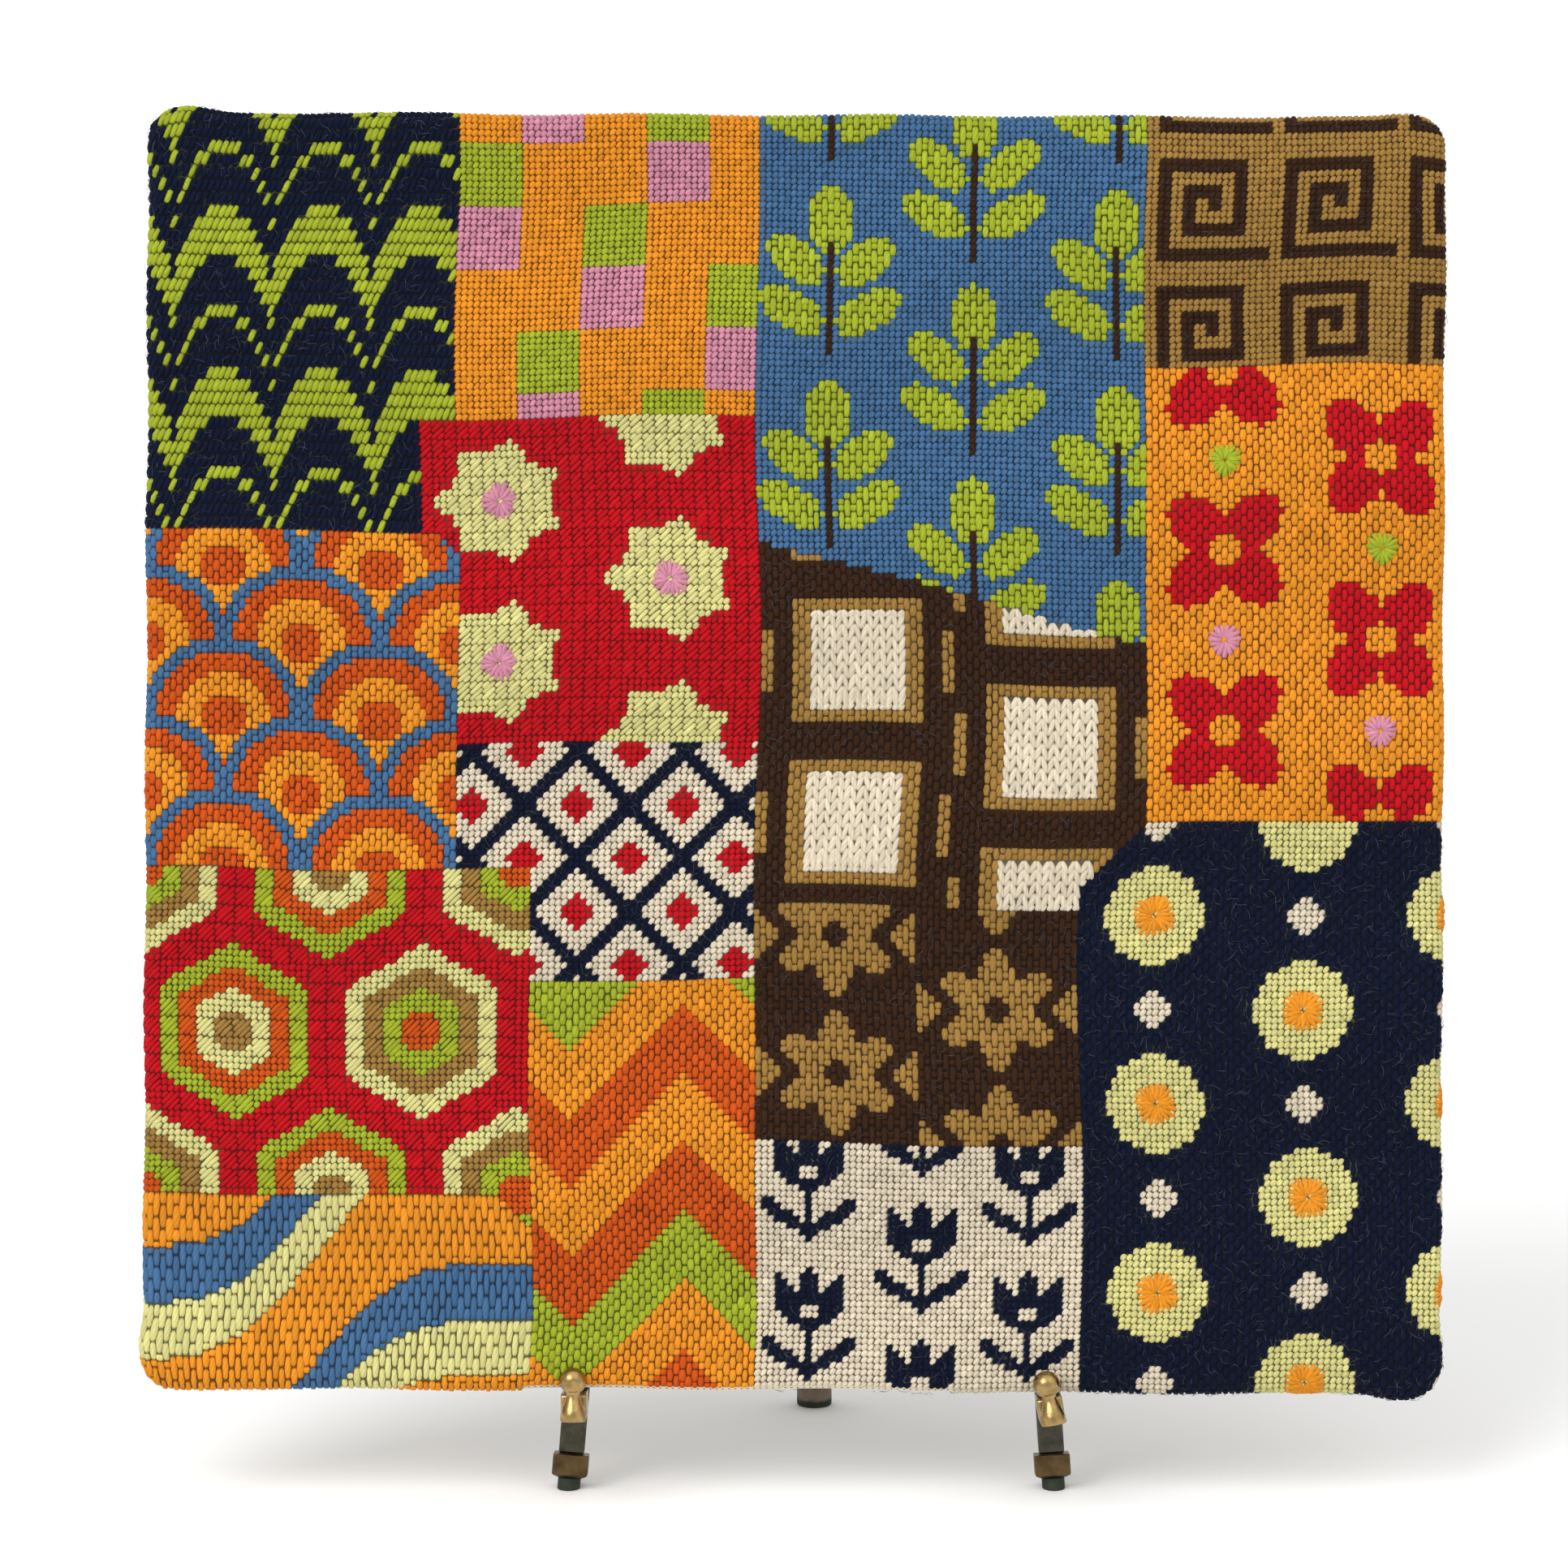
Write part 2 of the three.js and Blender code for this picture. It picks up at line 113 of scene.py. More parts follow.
def uneven(x, z):
    """Moves points of the even panel to their places on the real one, whose corners swell and edges wave."""
    half_x, half_z = WIDTH / 2, HEIGHT / 2
    more_x, more_z = np.zeros_like(x), np.zeros_like(z)
    for across, up, at_end, at_side in CORNERS:
        from_side = np.abs(x - across * half_x)
        from_end = np.abs(z - up * half_z)
        end_peak = np.exp(-((from_side - SWELL_FROM_CORNER) / SWELL_SPREAD) ** 2)
        side_peak = np.exp(-((from_end - SWELL_FROM_CORNER) / SWELL_SPREAD) ** 2)
        more_z += np.where(z * up > 0, up * at_end * end_peak * edge_share(z, half_z), 0)
        more_x += np.where(x * across > 0, across * at_side * side_peak * edge_share(x, half_x), 0)
    turn = 2 * math.pi * EDGE_WAVES
    more_x += EDGE_WAVE * np.sin(turn * z / HEIGHT + 1.1 * np.sign(x)) * edge_share(x, half_x)
    more_z += EDGE_WAVE * np.sin(turn * x / WIDTH - 0.7 * np.sign(z)) * edge_share(z, half_z)
    return x + more_x, z + more_z


def on_panel(x, y, z):
    """World places, in metres, of points measured from the panel's middle; y is the depth from its face."""
    crowned = np.clip(1 - (2 * x / WIDTH) ** 2, 0, 1) * np.clip(1 - (2 * z / HEIGHT) ** 2, 0, 1)
    x, z = uneven(x, z)
    y = y - np.where(y < CROWN_DEPTH, CROWN * crowned, 0)
    middle_x = CENTRE_X + math.sin(ROLL) * HEIGHT / 2
    middle_z = math.cos(ROLL) * HEIGHT / 2
    turned_x = middle_x + x * math.cos(ROLL) + z * math.sin(ROLL)
    turned_z = middle_z - x * math.sin(ROLL) + z * math.cos(ROLL)
    return (ORIGIN + lean(turned_x, y, turned_z)) * MM


def on_canvas(u, v, height):
    """World places of points of the flat canvas, from its middle, once it is stretched round the board.

    Height is how far a point stands off it. Away from the edges the threads wander in slow waves."""
    wander = 1 - np.maximum(edge_share(u, WIDTH / 2), edge_share(v, HEIGHT / 2))
    u, v = (
        u + wander * (0.8 * np.sin(v / 31 + 0.6) + 0.5 * np.sin(u / 47 + v / 19)),
        v + wander * (0.9 * np.sin(u / 37 + 1.9) + 0.5 * np.sin(u / 17 - v / 53)),
    )
    flat = np.stack([u, v], axis=-1)
    core = np.clip(flat, -CORE, CORE)
    out = flat - core
    reach = np.linalg.norm(out, axis=-1)
    outward = out / np.maximum(reach, 1e-9)[..., None]
    past = reach - FLAT_RIM
    front_arc, back_arc = FRONT_BEND * QUARTER, BACK_BEND * QUARTER
    front_turn = np.clip(past / FRONT_BEND, 0, QUARTER)
    down = np.clip(past - front_arc, 0, SIDE_DEPTH)
    back_turn = np.clip((past - front_arc - SIDE_DEPTH) / BACK_BEND, 0, QUARTER)
    over = np.maximum(past - front_arc - SIDE_DEPTH - back_arc, 0)
    plan = np.minimum(reach, FLAT_RIM) + FRONT_BEND * np.sin(front_turn)
    plan = plan - BACK_BEND * (1 - np.cos(back_turn)) - over
    depth = PILE + FRONT_BEND * (1 - np.cos(front_turn)) + down + BACK_BEND * np.sin(back_turn)
    facing = front_turn + back_turn
    plan = plan + height * np.sin(facing)
    depth = depth - height * np.cos(facing)
    place = core + outward * plan[..., None]
    return on_panel(place[..., 0], depth, place[..., 1])


# Materials

class Value:
    """A number that varies over a surface. Arithmetic on it adds Math nodes."""

    def __init__(self, finish, socket):
        self.finish = finish
        self.socket = socket

    def math(self, operation, *terms):
        return self.finish.add("ShaderNodeMath", {"operation": operation}, dict(enumerate(terms)))

    def __add__(self, other):
        return self.math("ADD", self, other)

    __radd__ = __add__

    def __sub__(self, other):
        return self.math("SUBTRACT", self, other)

    def __rsub__(self, other):
        return self.math("SUBTRACT", other, self)

    def __mul__(self, other):
        return self.math("MULTIPLY", self, other)

    __rmul__ = __mul__

    def sine(self):
        return self.math("SINE", self)

    def size(self):
        return self.math("ABSOLUTE", self)

    def clamped(self):
        return self.math("MAXIMUM", self.math("MINIMUM", self, 1.0), 0.0)


class Finish:
    """One material while it is being made. Fixed numbers and colours are set on the shader's own sockets."""

    def __init__(self, name, **fixed):
        self.material = bpy.data.materials.new(name)
        self.material.use_nodes = True
        self.tree = self.material.node_tree
        self.shader = self.tree.nodes["Principled BSDF"]
        for socket, value in fixed.items():
            self.shader.inputs[socket.replace("_", " ")].default_value = value

    def add(self, kind, settings=None, sockets=None, output=0):
        node = self.tree.nodes.new(kind)
        for setting, value in (settings or {}).items():
            setattr(node, setting, value)
        for socket, value in (sockets or {}).items():
            if isinstance(value, Value):
                self.tree.links.new(value.socket, node.inputs[socket])
            else:
                node.inputs[socket].default_value = value
        return Value(self, node.outputs[output])

    def mix(self, factor, first, second, blend="MIX"):
        settings = {"data_type": "RGBA", "blend_type": blend}
        return self.add("ShaderNodeMix", settings, {0: factor, 6: first, 7: second}, output=2)

    def noise(self, where, scale, detail=2.0, roughness=0.5):
        sockets = {"Vector": where, "Scale": scale, "Detail": detail, "Roughness": roughness}
        return self.add("ShaderNodeTexNoise", None, sockets)

    def bump(self, height, strength, distance):
        sockets = {"Height": height, "Strength": strength, "Distance": distance}
        return self.add("ShaderNodeBump", None, sockets)

    def feed(self, **links):
        for socket, value in links.items():
            self.tree.links.new(value.socket, self.shader.inputs[socket.replace("_", " ")])
        return self.material

    def place(self):
        """The object's own coordinates, in metres."""
        return self.add("ShaderNodeTexCoord", output=3)

    def dye(self):
        """The colour kept in the mesh's own values."""
        return self.add("ShaderNodeAttribute", {"attribute_name": "dye"})

    def kept(self, name):
        """Three numbers kept in the mesh's own values."""
        return self.add("ShaderNodeAttribute", {"attribute_name": name}, output=1)

    def parts(self, three):
        """Three numbers, each by itself."""
        split = self.add("ShaderNodeSeparateXYZ", None, {0: three}).socket.node
        return [Value(self, output) for output in split.outputs]


def grey(level):
    return (level, level, level, 1.0)


def wool_yarn():
    """Tapestry wool: soft plies with loose fibres, with painted shade in the grooves between the plies and,
    from its dye values, where a stitch dips into its hole.
    """
    wool = Finish(
        "wool_yarn", Roughness=0.95, Sheen_Weight=0.03, Sheen_Roughness=0.4, Specular_IOR_Level=0.08,
    )
    along, across, chance = wool.parts(wool.kept("strand"))
    plies = (across * 6.0 + along * 2.6 + chance * 40.0).sine() * 0.5 + 0.5
    stretched = wool.add("ShaderNodeCombineXYZ", None, {0: along * 0.7, 1: across * 3.2, 2: chance * 90.0})
    fibres = wool.noise(stretched, 2.6, 3.0, 0.62)
    # Painted shade: the plies' stripes darken the grooves between them; the fibres' noise is the wool's own
    # uneven tone.
    shade = 0.74 + plies * 0.16 + fibres * 0.26
    tone = wool.add("ShaderNodeCombineColor", None, {0: shade, 1: shade, 2: shade})
    relief = wool.bump(plies * 0.6 + fibres * 0.7, 0.5, 0.0002)
    # The dye values already hold painted shade where the stitches dip into their holes.
    return wool.feed(Base_Color=wool.mix(1.0, wool.dye(), tone, "MULTIPLY"), Normal=relief)


def loose_fibre():
    fibre = Finish("loose_fibre", Roughness=0.95, Specular_IOR_Level=0.1)
    tone = fibre.mix(fibre.noise(fibre.place(), 900.0), grey(0.7), grey(1.0))
    return fibre.feed(Base_Color=fibre.mix(1.0, fibre.dye(), tone, "MULTIPLY"))


def bare_canvas():
    """Cotton canvas: plain threads over and under each other, with a hole between each four painted near
    black as shade, and painted shade in the wool's colour where the wool covers it.
    """
    cotton = Finish("bare_canvas", Roughness=0.85, Specular_IOR_Level=0.25)
    painted_pinhole_shade = cotton.dye()
    flat = cotton.kept("flat")
    across, up, covered = cotton.parts(flat)
    upright = (across * math.pi).sine().size()
    level = (up * math.pi).sine().size()
    thread = upright.math("MAXIMUM", upright, level)
    # Painted shade: the holes between the threads are painted near black, for the shade seen through them.
    hole = ((0.55 - thread) * 5.0).clamped()
    fibres = cotton.noise(flat, 5.0, 3.0)
    cloth = cotton.mix(fibres, (0.62, 0.52, 0.37, 1), (0.80, 0.72, 0.56, 1))
    holed = cotton.mix(hole, cloth, (0.10, 0.075, 0.05, 1))
    # Under the wool the canvas is painted shade: its dye values hold the wool's colour, darkened, for the
    # pinholes between stitches.
    shaded = cotton.mix(covered, holed, painted_pinhole_shade)
    over = ((across + up) * math.pi).sine()
    relief = cotton.bump(thread * 0.8 + over * 0.15 + fibres * 0.2, 0.8, 0.0004)
    return cotton.feed(Base_Color=shaded, Normal=relief)


def board():
    """The filling's plain grey board, faintly pulpy."""
    pulp = Finish("grey_board", Roughness=0.9, Specular_IOR_Level=0.2)
    place = pulp.place()
    fine = pulp.noise(place, 700.0, 4.0)
    patchy = pulp.noise(place, 30.0, 3.0)
    colour = pulp.mix(fine * 0.5 + patchy * 0.5, (0.30, 0.27, 0.23, 1), (0.46, 0.43, 0.38, 1))
    return pulp.feed(Base_Color=colour, Normal=pulp.bump(fine, 0.3, 0.0003))


def aged_metal(name, bright, dull, roughness):
    """Cast and filed metal, duller in soft patches, with fine scratches and pits."""
    metal = Finish(name, Metallic=1.0)
    place = metal.place()
    patches = metal.noise(place, 220.0, 4.0, 0.6)
    fine = metal.noise(place, 1900.0, 3.0, 0.7)
    streaks = metal.add("ShaderNodeMapping", None, {0: place, "Scale": (1.0, 1.0, 0.12)})
    scratches = metal.noise(streaks, 2400.0, 2.0)
    tarnish = ((patches - 0.42) * 3.2).clamped()
    colour = metal.mix(tarnish, bright, dull)
    pits = ((fine - 0.62) * 5.0).clamped()
    pitted = metal.mix(pits, colour, tuple(0.45 * channel for channel in dull[:3]) + (1,))
    rough = roughness + tarnish * 0.16 + scratches * 0.08
    bumps = metal.bump(fine * 0.5 + scratches * 0.5 + patches * 0.8, 0.25, 0.0002)
    return metal.feed(Base_Color=pitted, Roughness=rough, Normal=bumps)


def rubber(name, light, dark):
    """Moulded rubber, dusty in its pores."""
    soft = Finish(name, Specular_IOR_Level=0.35)
    place = soft.place()
    dust = soft.noise(place, 260.0, 4.0, 0.6)
    pores = soft.noise(place, 2200.0, 2.0)
    colour = soft.mix(((dust - 0.35) * 2.2).clamped(), dark, light)
    rough = 0.55 + dust * 0.3
    return soft.feed(Base_Color=colour, Roughness=rough, Normal=soft.bump(pores + dust, 0.25, 0.0003))


def rear_rubber():
    """Grey-brown rubber, darker and greenish within a few millimetres of its foot."""
    soft = Finish("brown_rubber", Specular_IOR_Level=0.35)
    place = soft.place()
    height = soft.parts(place)[2]
    dust = soft.noise(place, 300.0, 4.0, 0.6)
    foot = (1.0 - (height * 1000.0 + dust * 1.6 - 2.6)).clamped()
    body = soft.mix(dust, (0.13, 0.10, 0.07, 1), (0.24, 0.19, 0.14, 1))
    colour = soft.mix(foot, body, (0.02, 0.03, 0.018, 1))
    return soft.feed(Base_Color=colour, Roughness=0.6 + dust * 0.25, Normal=soft.bump(dust, 0.25, 0.0004))


def floor_paper():
    paper = Finish("floor_paper", Roughness=0.95, Specular_IOR_Level=0.1)
    mottled = paper.noise(paper.place(), 3.0, 2.0)
    return paper.feed(Base_Color=paper.mix(mottled, grey(0.93), grey(0.95)))


# Dyes of the wool as they look in daylight, each channel from 0 to 255

DYED = {
    "navy": (22, 28, 46),
    "lime": (150, 163, 48),
    "pale lime": (202, 197, 130),
    "red": (178, 26, 34),
    "orange": (214, 136, 42),
    "rust": (188, 80, 30),
    "blue": (68, 102, 138),
    "pink": (194, 130, 150),
    "cream": (207, 195, 172),
    "brown": (56, 38, 27),
    "tan": (148, 114, 60),
}
DISPLAY_CURVE = 2.2
DYE_NUMBER = {name: i for i, name in enumerate(DYED)}
DYE_COLOURS = (np.array(list(DYED.values())) / 255) ** DISPLAY_CURVE
FUZZY = [DYE_NUMBER["navy"], DYE_NUMBER["brown"]]


# The sampler's chart: each cell's dye, kind of stitch and square of the patchwork

COLUMNS = np.arange(-ROUND_SIDE, CELLS_ACROSS + ROUND_SIDE)
ROWS = np.arange(-ROUND_SIDE, CELLS_UP + ROUND_SIDE)
X, Y = np.meshgrid(COLUMNS, ROWS)
# The middles of the cells
MID_X, MID_Y = X + 0.5, Y + 0.5
STITCHES = ["tent", "brick", "oblique", "long", "parisian", "cashmere", "cushion", "knit"]

UNWORKED = -1
# Columns of the bottom edge where the stitching stops short and the canvas shows, below row 1
BARE_EDGE = (61, 130, None, 1)

dyes = np.zeros(X.shape, int)
kinds = np.zeros(X.shape, int)
squares = np.zeros(X.shape, int)
square_names = []
eyelets = []


def region(left, right, low, high):
    """The cells between these edges. None is the canvas's own edge, round its side."""
    inside = np.ones(X.shape, bool)
    for cells, first, end in ((X, left, right), (Y, low, high)):
        if first is not None:
            inside &= cells >= first
        if end is not None:
            inside &= cells < end
    return inside


def colours(ground, *layers):
    """A chart with this ground, and each layer's dye laid over it where its mask says."""
    chart = np.full(X.shape, DYE_NUMBER[ground])
    for mask, dye in layers:
        chart[mask] = DYE_NUMBER[dye]
    return chart


def work(name, where, stitch, chart, inset=None, inset_stitch=None):
    """Fills a square of the patchwork. Its inset is the cells that are worked in another stitch."""
    dyes[where] = chart[where]
    kinds[where] = STITCHES.index(stitch)
    squares[where] = len(square_names)
    square_names.append(name)
    if inset_stitch:
        kinds[where & inset] = STITCHES.index(inset_stitch)


def worked_in(stitch):
    return kinds == STITCHES.index(stitch)


def half_drop(width, height, from_x, from_y):
    """Each cell's place from the middle of its motif, where each second column of motifs drops half."""
    x, y = MID_X - from_x, MID_Y - from_y
    column = np.floor(x / width)
    in_x = x - (column + 0.5) * width
    in_y = (y + (column % 2) * height / 2) % height - height / 2
    return in_x, in_y


def motif_middles(width, height, from_x, from_y, where):
    """The middles of a half-drop repeat's motifs that lie well inside these cells."""
    room = 3
    found = []
    for column in range(-2, int(CELLS_ACROSS / width) + 3):
        for row in range(-2, int(CELLS_UP / height) + 3):
            x = from_x + (column + 0.5) * width
            y = from_y + (row + 0.5) * height - (column % 2) * height / 2
            near = where[(np.abs(MID_X - x) < room) & (np.abs(MID_Y - y) < room)]
            if near.size and near.all():
                found.append((x, y))
    return found


def ellipse(x, y, middle_x, middle_y, half_x, half_y, turn=0.0):
    angle = math.radians(turn)
    dx, dy = x - middle_x, y - middle_y
    along = dx * math.cos(angle) + dy * math.sin(angle)
    beside = dy * math.cos(angle) - dx * math.sin(angle)
    return (along / half_x) ** 2 + (beside / half_y) ** 2 < 1


def petal_ring(x, y, turns, out, half_long, half_wide):
    """Petals round a middle, each an ellipse that points outwards at one of the turns."""
    inside = np.zeros(X.shape, bool)
    for turn in turns:
        angle = math.radians(turn)
        middle = (out * math.cos(angle), out * math.sin(angle))
        inside |= ellipse(x, y, *middle, half_long, half_wide, turn)
    return inside


def charted(chart):
    """The marked cells of a small chart, its lowest row first."""
    return np.array([[mark == "x" for mark in row] for row in chart.split()[::-1]])


def flame():
    """Lime flames on navy, each stitch a whole step of the flame line."""
    rise = np.array([0, 0, 0, 1, 1, 2, 3, 4, 6, 4, 3, 2, 1, 1, 0, 0])
    step = (Y // 2 + rise[(X + 4) % len(rise)]) % 13
    return colours("navy", (step < 4, "lime"), (step == 8, "lime"))


def checks():
    turn = (X // 10 + 2 * (Y // 10)) % 5
    return colours("orange", (turn == 1, "pink"), (turn == 3, "lime"))


def sprigs():
    x, y = half_drop(23, 31, 98, 132)
    stem = (np.abs(x) < 1) & (y > -13) & (y < 6)
    leaves = ellipse(x, y, 0, 9, 3.6, 5.6)
    for side in (-1, 1):
        leaves |= ellipse(x, y, side * 5.6, 2.6, 5.4, 3.1, side * 38)
        leaves |= ellipse(x, y, side * 6.2, -5.4, 5.8, 3.1, side * 30)
    return colours("blue", (leaves, "lime"), (stem, "brown")), leaves


MEANDER = """
xxxxxxxxxx
x.......xx
x.xxxxx.xx
x.x...x.xx
x.x.x.x.xx
x.x.xxx.xx
x.x.....xx
x.xxxxxxxx
x.........
xxxxxxxxxx
"""


def meander():
    """A squared key, two stitches to each step."""
    steps = charted(MEANDER)
    return colours("brown", (steps[(Y // 2) % len(steps), (X // 2) % len(steps)], "tan"))


def petals():
    x, y = half_drop(25, 29, 160, 92)
    red = petal_ring(x, y, range(45, 360, 90), 5.6, 6.0, 3.9)
    return colours("orange", (red, "red"), (x * x + y * y < 7, "orange"))


def daisies():
    x, y = half_drop(27, 26, 43, 104)
    radius = np.hypot(x, y)
    edge = 10.6 - 2.6 * np.abs(np.cos(3.5 * np.arctan2(y, x)))
    return colours("red", (radius < edge, "pale lime"))


def scallops():
    """Overlapping fans, each row in front of the one above it."""
    width, rise, radius = 25, 12, 13.2
    chart = colours("rust")
    for row in range(22, -4, -1):
        middle_y = row * rise
        shift = (row % 2) * width / 2
        middle_x = np.round((MID_X - shift) / width) * width + shift
        distance = np.hypot(MID_X - middle_x, (MID_Y - middle_y) * 1.06)
        for reach, dye in ((radius, "blue"), (radius - 2.2, "rust"), (7.4, "orange"), (3.4, "rust")):
            chart[distance < reach] = DYE_NUMBER[dye]
    return chart


def windows():
    x, y = half_drop(31, 26, 98, 78)
    frame_side = np.maximum(np.abs(x), np.abs(y))
    tie = (np.abs(np.abs(x) - 15.5) < 2.5) & (np.abs(y) < 5)
    cream = frame_side < 8
    tan = (frame_side >= 8) & (frame_side < 10.4) | tie
    return colours("brown", (tan, "tan"), (cream, "cream")), cream


def trellis():
    falling = (X + Y) % 17
    rising = (X - Y) % 17
    bars = (falling < 3) | (rising < 3)
    middle = (np.abs(falling - 9.5) < 3) & (np.abs(rising - 9.5) < 3)
    return colours("cream", (middle, "red"), (bars, "navy"))


def dots():
    x, y = half_drop(24, 30, 150, 2)
    spot = x * x + y * y < 62
    diamond = np.abs(x) + np.abs(np.abs(y) - 15) < 3.4
    return colours("navy", (spot, "pale lime"), (diamond, "cream")), spot | diamond


def honeycomb():
    """Six-sided cells one in another, in two colourings by turns."""
    across, up = 30.0, 26.0
    best = np.full(X.shape, 99.0)
    turn = np.zeros(X.shape, int)
    for row in range(-1, 6):
        for column in range(-1, 4):
            dx = np.abs(MID_X - column * across - (row % 2) * across / 2)
            dy = np.abs(MID_Y - 32 - row * up)
            distance = np.maximum(dx, (dx + 1.732 * dy) / 2)
            nearer = distance < best
            best[nearer] = distance[nearer]
            turn[nearer] = (column + row) % 2
    rims = [best < reach for reach in (12.2, 9.2, 6.2, 3)]
    charts = [
        colours("red", *zip(rims, around)) for around in
        (("pale lime", "tan", "lime", "rust"), ("lime", "rust", "pale lime", "tan"))
    ]
    return np.where(turn == 1, charts[1], charts[0])


def chevrons():
    peak = np.abs((X + 4) % 36 - 18)
    band = ((Y + peak + 400) // 11) % 5
    return colours("orange", (band == 1, "rust"), (band == 3, "lime"), (band == 4, "rust"))


def waves():
    flow = (Y - 0.62 * X + 5.5 * np.sin(X / 8.5) + 400) // 9
    band = flow.astype(int) % 4
    return colours("orange", (band == 1, "pale lime"), (band == 2, "blue"))


def rosettes():
    x, y = half_drop(26, 22, 98, 40)
    blooms = petal_ring(x, y, range(30, 390, 60), 5.4, 4.6, 2.6)
    blooms |= np.abs(np.abs(x) - 13) + np.abs(y) < 4.2
    return colours("brown", (blooms, "tan"), (x * x + y * y < 3.2, "brown"))


TULIP = """
.......x.......
..x...xxx...x..
..xx..xxx..xx..
..xxx.xxx.xxx..
..xxxxxxxxxxx..
..xxxxxxxxxxx..
..xxxx...xxxx..
...xxx...xxx...
....xxxxxxx....
......xxx......
.......x.......
xx.....x.....xx
xxx....x....xxx
.xxxx..x..xxxx.
..xxxx.x.xxxx..
....xxxxxxx....
......xxx......
.......x.......
"""


def tulips():
    x, y = half_drop(17.5, 22, 98, 0)
    bloom = charted(TULIP)
    high, wide = bloom.shape
    column = np.floor(x + wide / 2).astype(int)
    row = np.floor(y + high / 2).astype(int)
    inside = (column >= 0) & (column < wide) & (row >= 0) & (row < high)
    picked = bloom[np.clip(row, 0, high - 1), np.clip(column, 0, wide - 1)]
    return colours("cream", (inside & picked, "navy"))


def add_eyelets(middles, radius, dye, rays):
    for x, y in middles:
        eyelets.append((x, y, radius, DYE_NUMBER[dye], rays))


def fill_sampler():
    """Works every square of the patchwork, the later ones over the edges of the earlier ones."""
    petal_place, daisy_place = region(160, None, 92, 165), region(44, 98, 104, 156)
    dot_place = region(150, None, None, 92) & (Y < X - 68)
    work("flame", region(None, 50, 138, None), "oblique", flame())
    work("checks", region(50, 98, 156, None), "tent", checks())
    work("sprigs", region(98, 160, 118, None), "tent", *sprigs(), "parisian")
    work("meander", region(160, None, 165, None), "tent", meander())
    work("petals", petal_place, "brick", petals())
    work("daisies", daisy_place, "cashmere", daisies())
    work("scallops", region(None, 50, 84, 138) & (X + Y < 184), "brick", scallops())
    work("windows", region(98, 160, 78, 136) & (4 * Y + X < 640), "brick", *windows(), "knit")
    work("trellis", region(50, 98, 66, 104), "tent", trellis())
    work("dots", dot_place, "brick", *dots(), "tent")
    work("honeycomb", region(None, 62, 20, 84), "cushion", honeycomb())
    work("chevrons", region(62, 98, None, 66), "brick", chevrons())
    work("waves", region(None, 62, None, 32) & (X + Y < 88), "long", waves())
    work("rosettes", region(98, 150, 40, 78), "parisian", rosettes())
    work("tulips", region(98, 150, None, 40), "tent", tulips())
    kinds[region(*BARE_EDGE)] = UNWORKED
    between = motif_middles(25, 29, 160, 106.5, petal_place)
    add_eyelets(between[::2], 2.8, "pink", 15)
    add_eyelets(between[1::2], 2.8, "lime", 15)
    add_eyelets(motif_middles(27, 26, 43, 104, daisy_place), 3.1, "pink", 17)
    add_eyelets(motif_middles(24, 30, 150, 2, dot_place), 3.6, "orange", 19)


# Stitches

# A stitch is eight numbers: the places of its two ends in cells, half its yarn's width, its loft above the
# canvas, its dye and its square of the patchwork.

# For each upright kind: its lengths up a column in turn, the shift from column to column, its slant in cells,
# and half its yarn's width
UPRIGHT = {
    "brick": ([2], 1, 0, 1.02),
    "oblique": ([2], 0, 1, 0.95),
    "long": ([4], 2, 0, 1.04),
    "parisian": ([3, 1], 2, 0, 1.02),
}
# A block's width and height in cells, and its stitches from cell corner to cell corner
BLOCKS = {
    "cashmere": (2, 3, [(0, 2, 1, 3), (0, 1, 2, 3), (0, 0, 2, 2), (1, 0, 2, 1)]),
    "cushion": (3, 3, [(0, 2, 1, 3), (0, 1, 2, 3), (0, 0, 3, 3), (1, 0, 3, 2), (2, 0, 3, 1)]),
}
BLOCK_HALF = 0.77
TENT_HALF, TENT_STEEP = 0.87, 0.16
KNIT_HALF = 0.95
# How much of the round behind it an eyelet's ray takes, how uneven its rays are, and its bare middle
RAY_SHARE, RAY_UNEVEN, EYELET_MIDDLE = 0.85, 0.09, 0.12
LOFT = 0.98
UPRIGHT_LOFT, KNIT_LOFT, EYELET_LOFT = LOFT * 1.05, LOFT * 1.15, LOFT * 1.75


def cell_stitches(rows, columns, left, low, right, high, half, loft):
    """Stitches that begin in these cells, in their dyes."""
    count = len(rows)
    return np.stack([
        left, low, right, high,
        np.full(count, half), np.full(count, loft), dyes[rows, columns], squares[rows, columns],
    ], axis=-1).astype(float)


def tent_stitches(cells):
    rows, columns = np.nonzero(cells)
    x, y = COLUMNS[columns], ROWS[rows]
    return cell_stitches(rows, columns, x + TENT_STEEP, y, x + 1 - TENT_STEEP, y + 1, TENT_HALF, LOFT)


def upright_stitches(kind):
    """Stitches up the columns, each cut short where its motif ends."""
    lengths, shift, slant, half = UPRIGHT[kind]
    period = sum(lengths)
    starts = np.repeat(np.arange(len(lengths)), lengths)
    made = []
    inside = worked_in(kind)
    # A whole number of repeats, so that no place is below 0
    lift = 80 * period
    for column, x in enumerate(COLUMNS):
        if not inside[:, column].any():
            continue
        place = ROWS + lift + shift * (x % 2)
        slot = place // period * len(lengths) + starts[place % period]
        run = (slot * len(DYED) + dyes[:, column]) * len(square_names) + squares[:, column]
        run[~inside[:, column]] = -1
        changes = np.flatnonzero(np.diff(run)) + 1
        edges = np.concatenate([[0], changes, [len(run)]])
        left = x + 0.5 * (1 - slant)
        for low, high in zip(edges[:-1], edges[1:]):
            if run[low] < 0:
                continue
            y = ROWS[low]
            dye, square = dyes[low, column], squares[low, column]
            made.append((left, y, left + slant, y + high - low, half, UPRIGHT_LOFT, dye, square))
    return np.array(made, float).reshape(-1, 8)


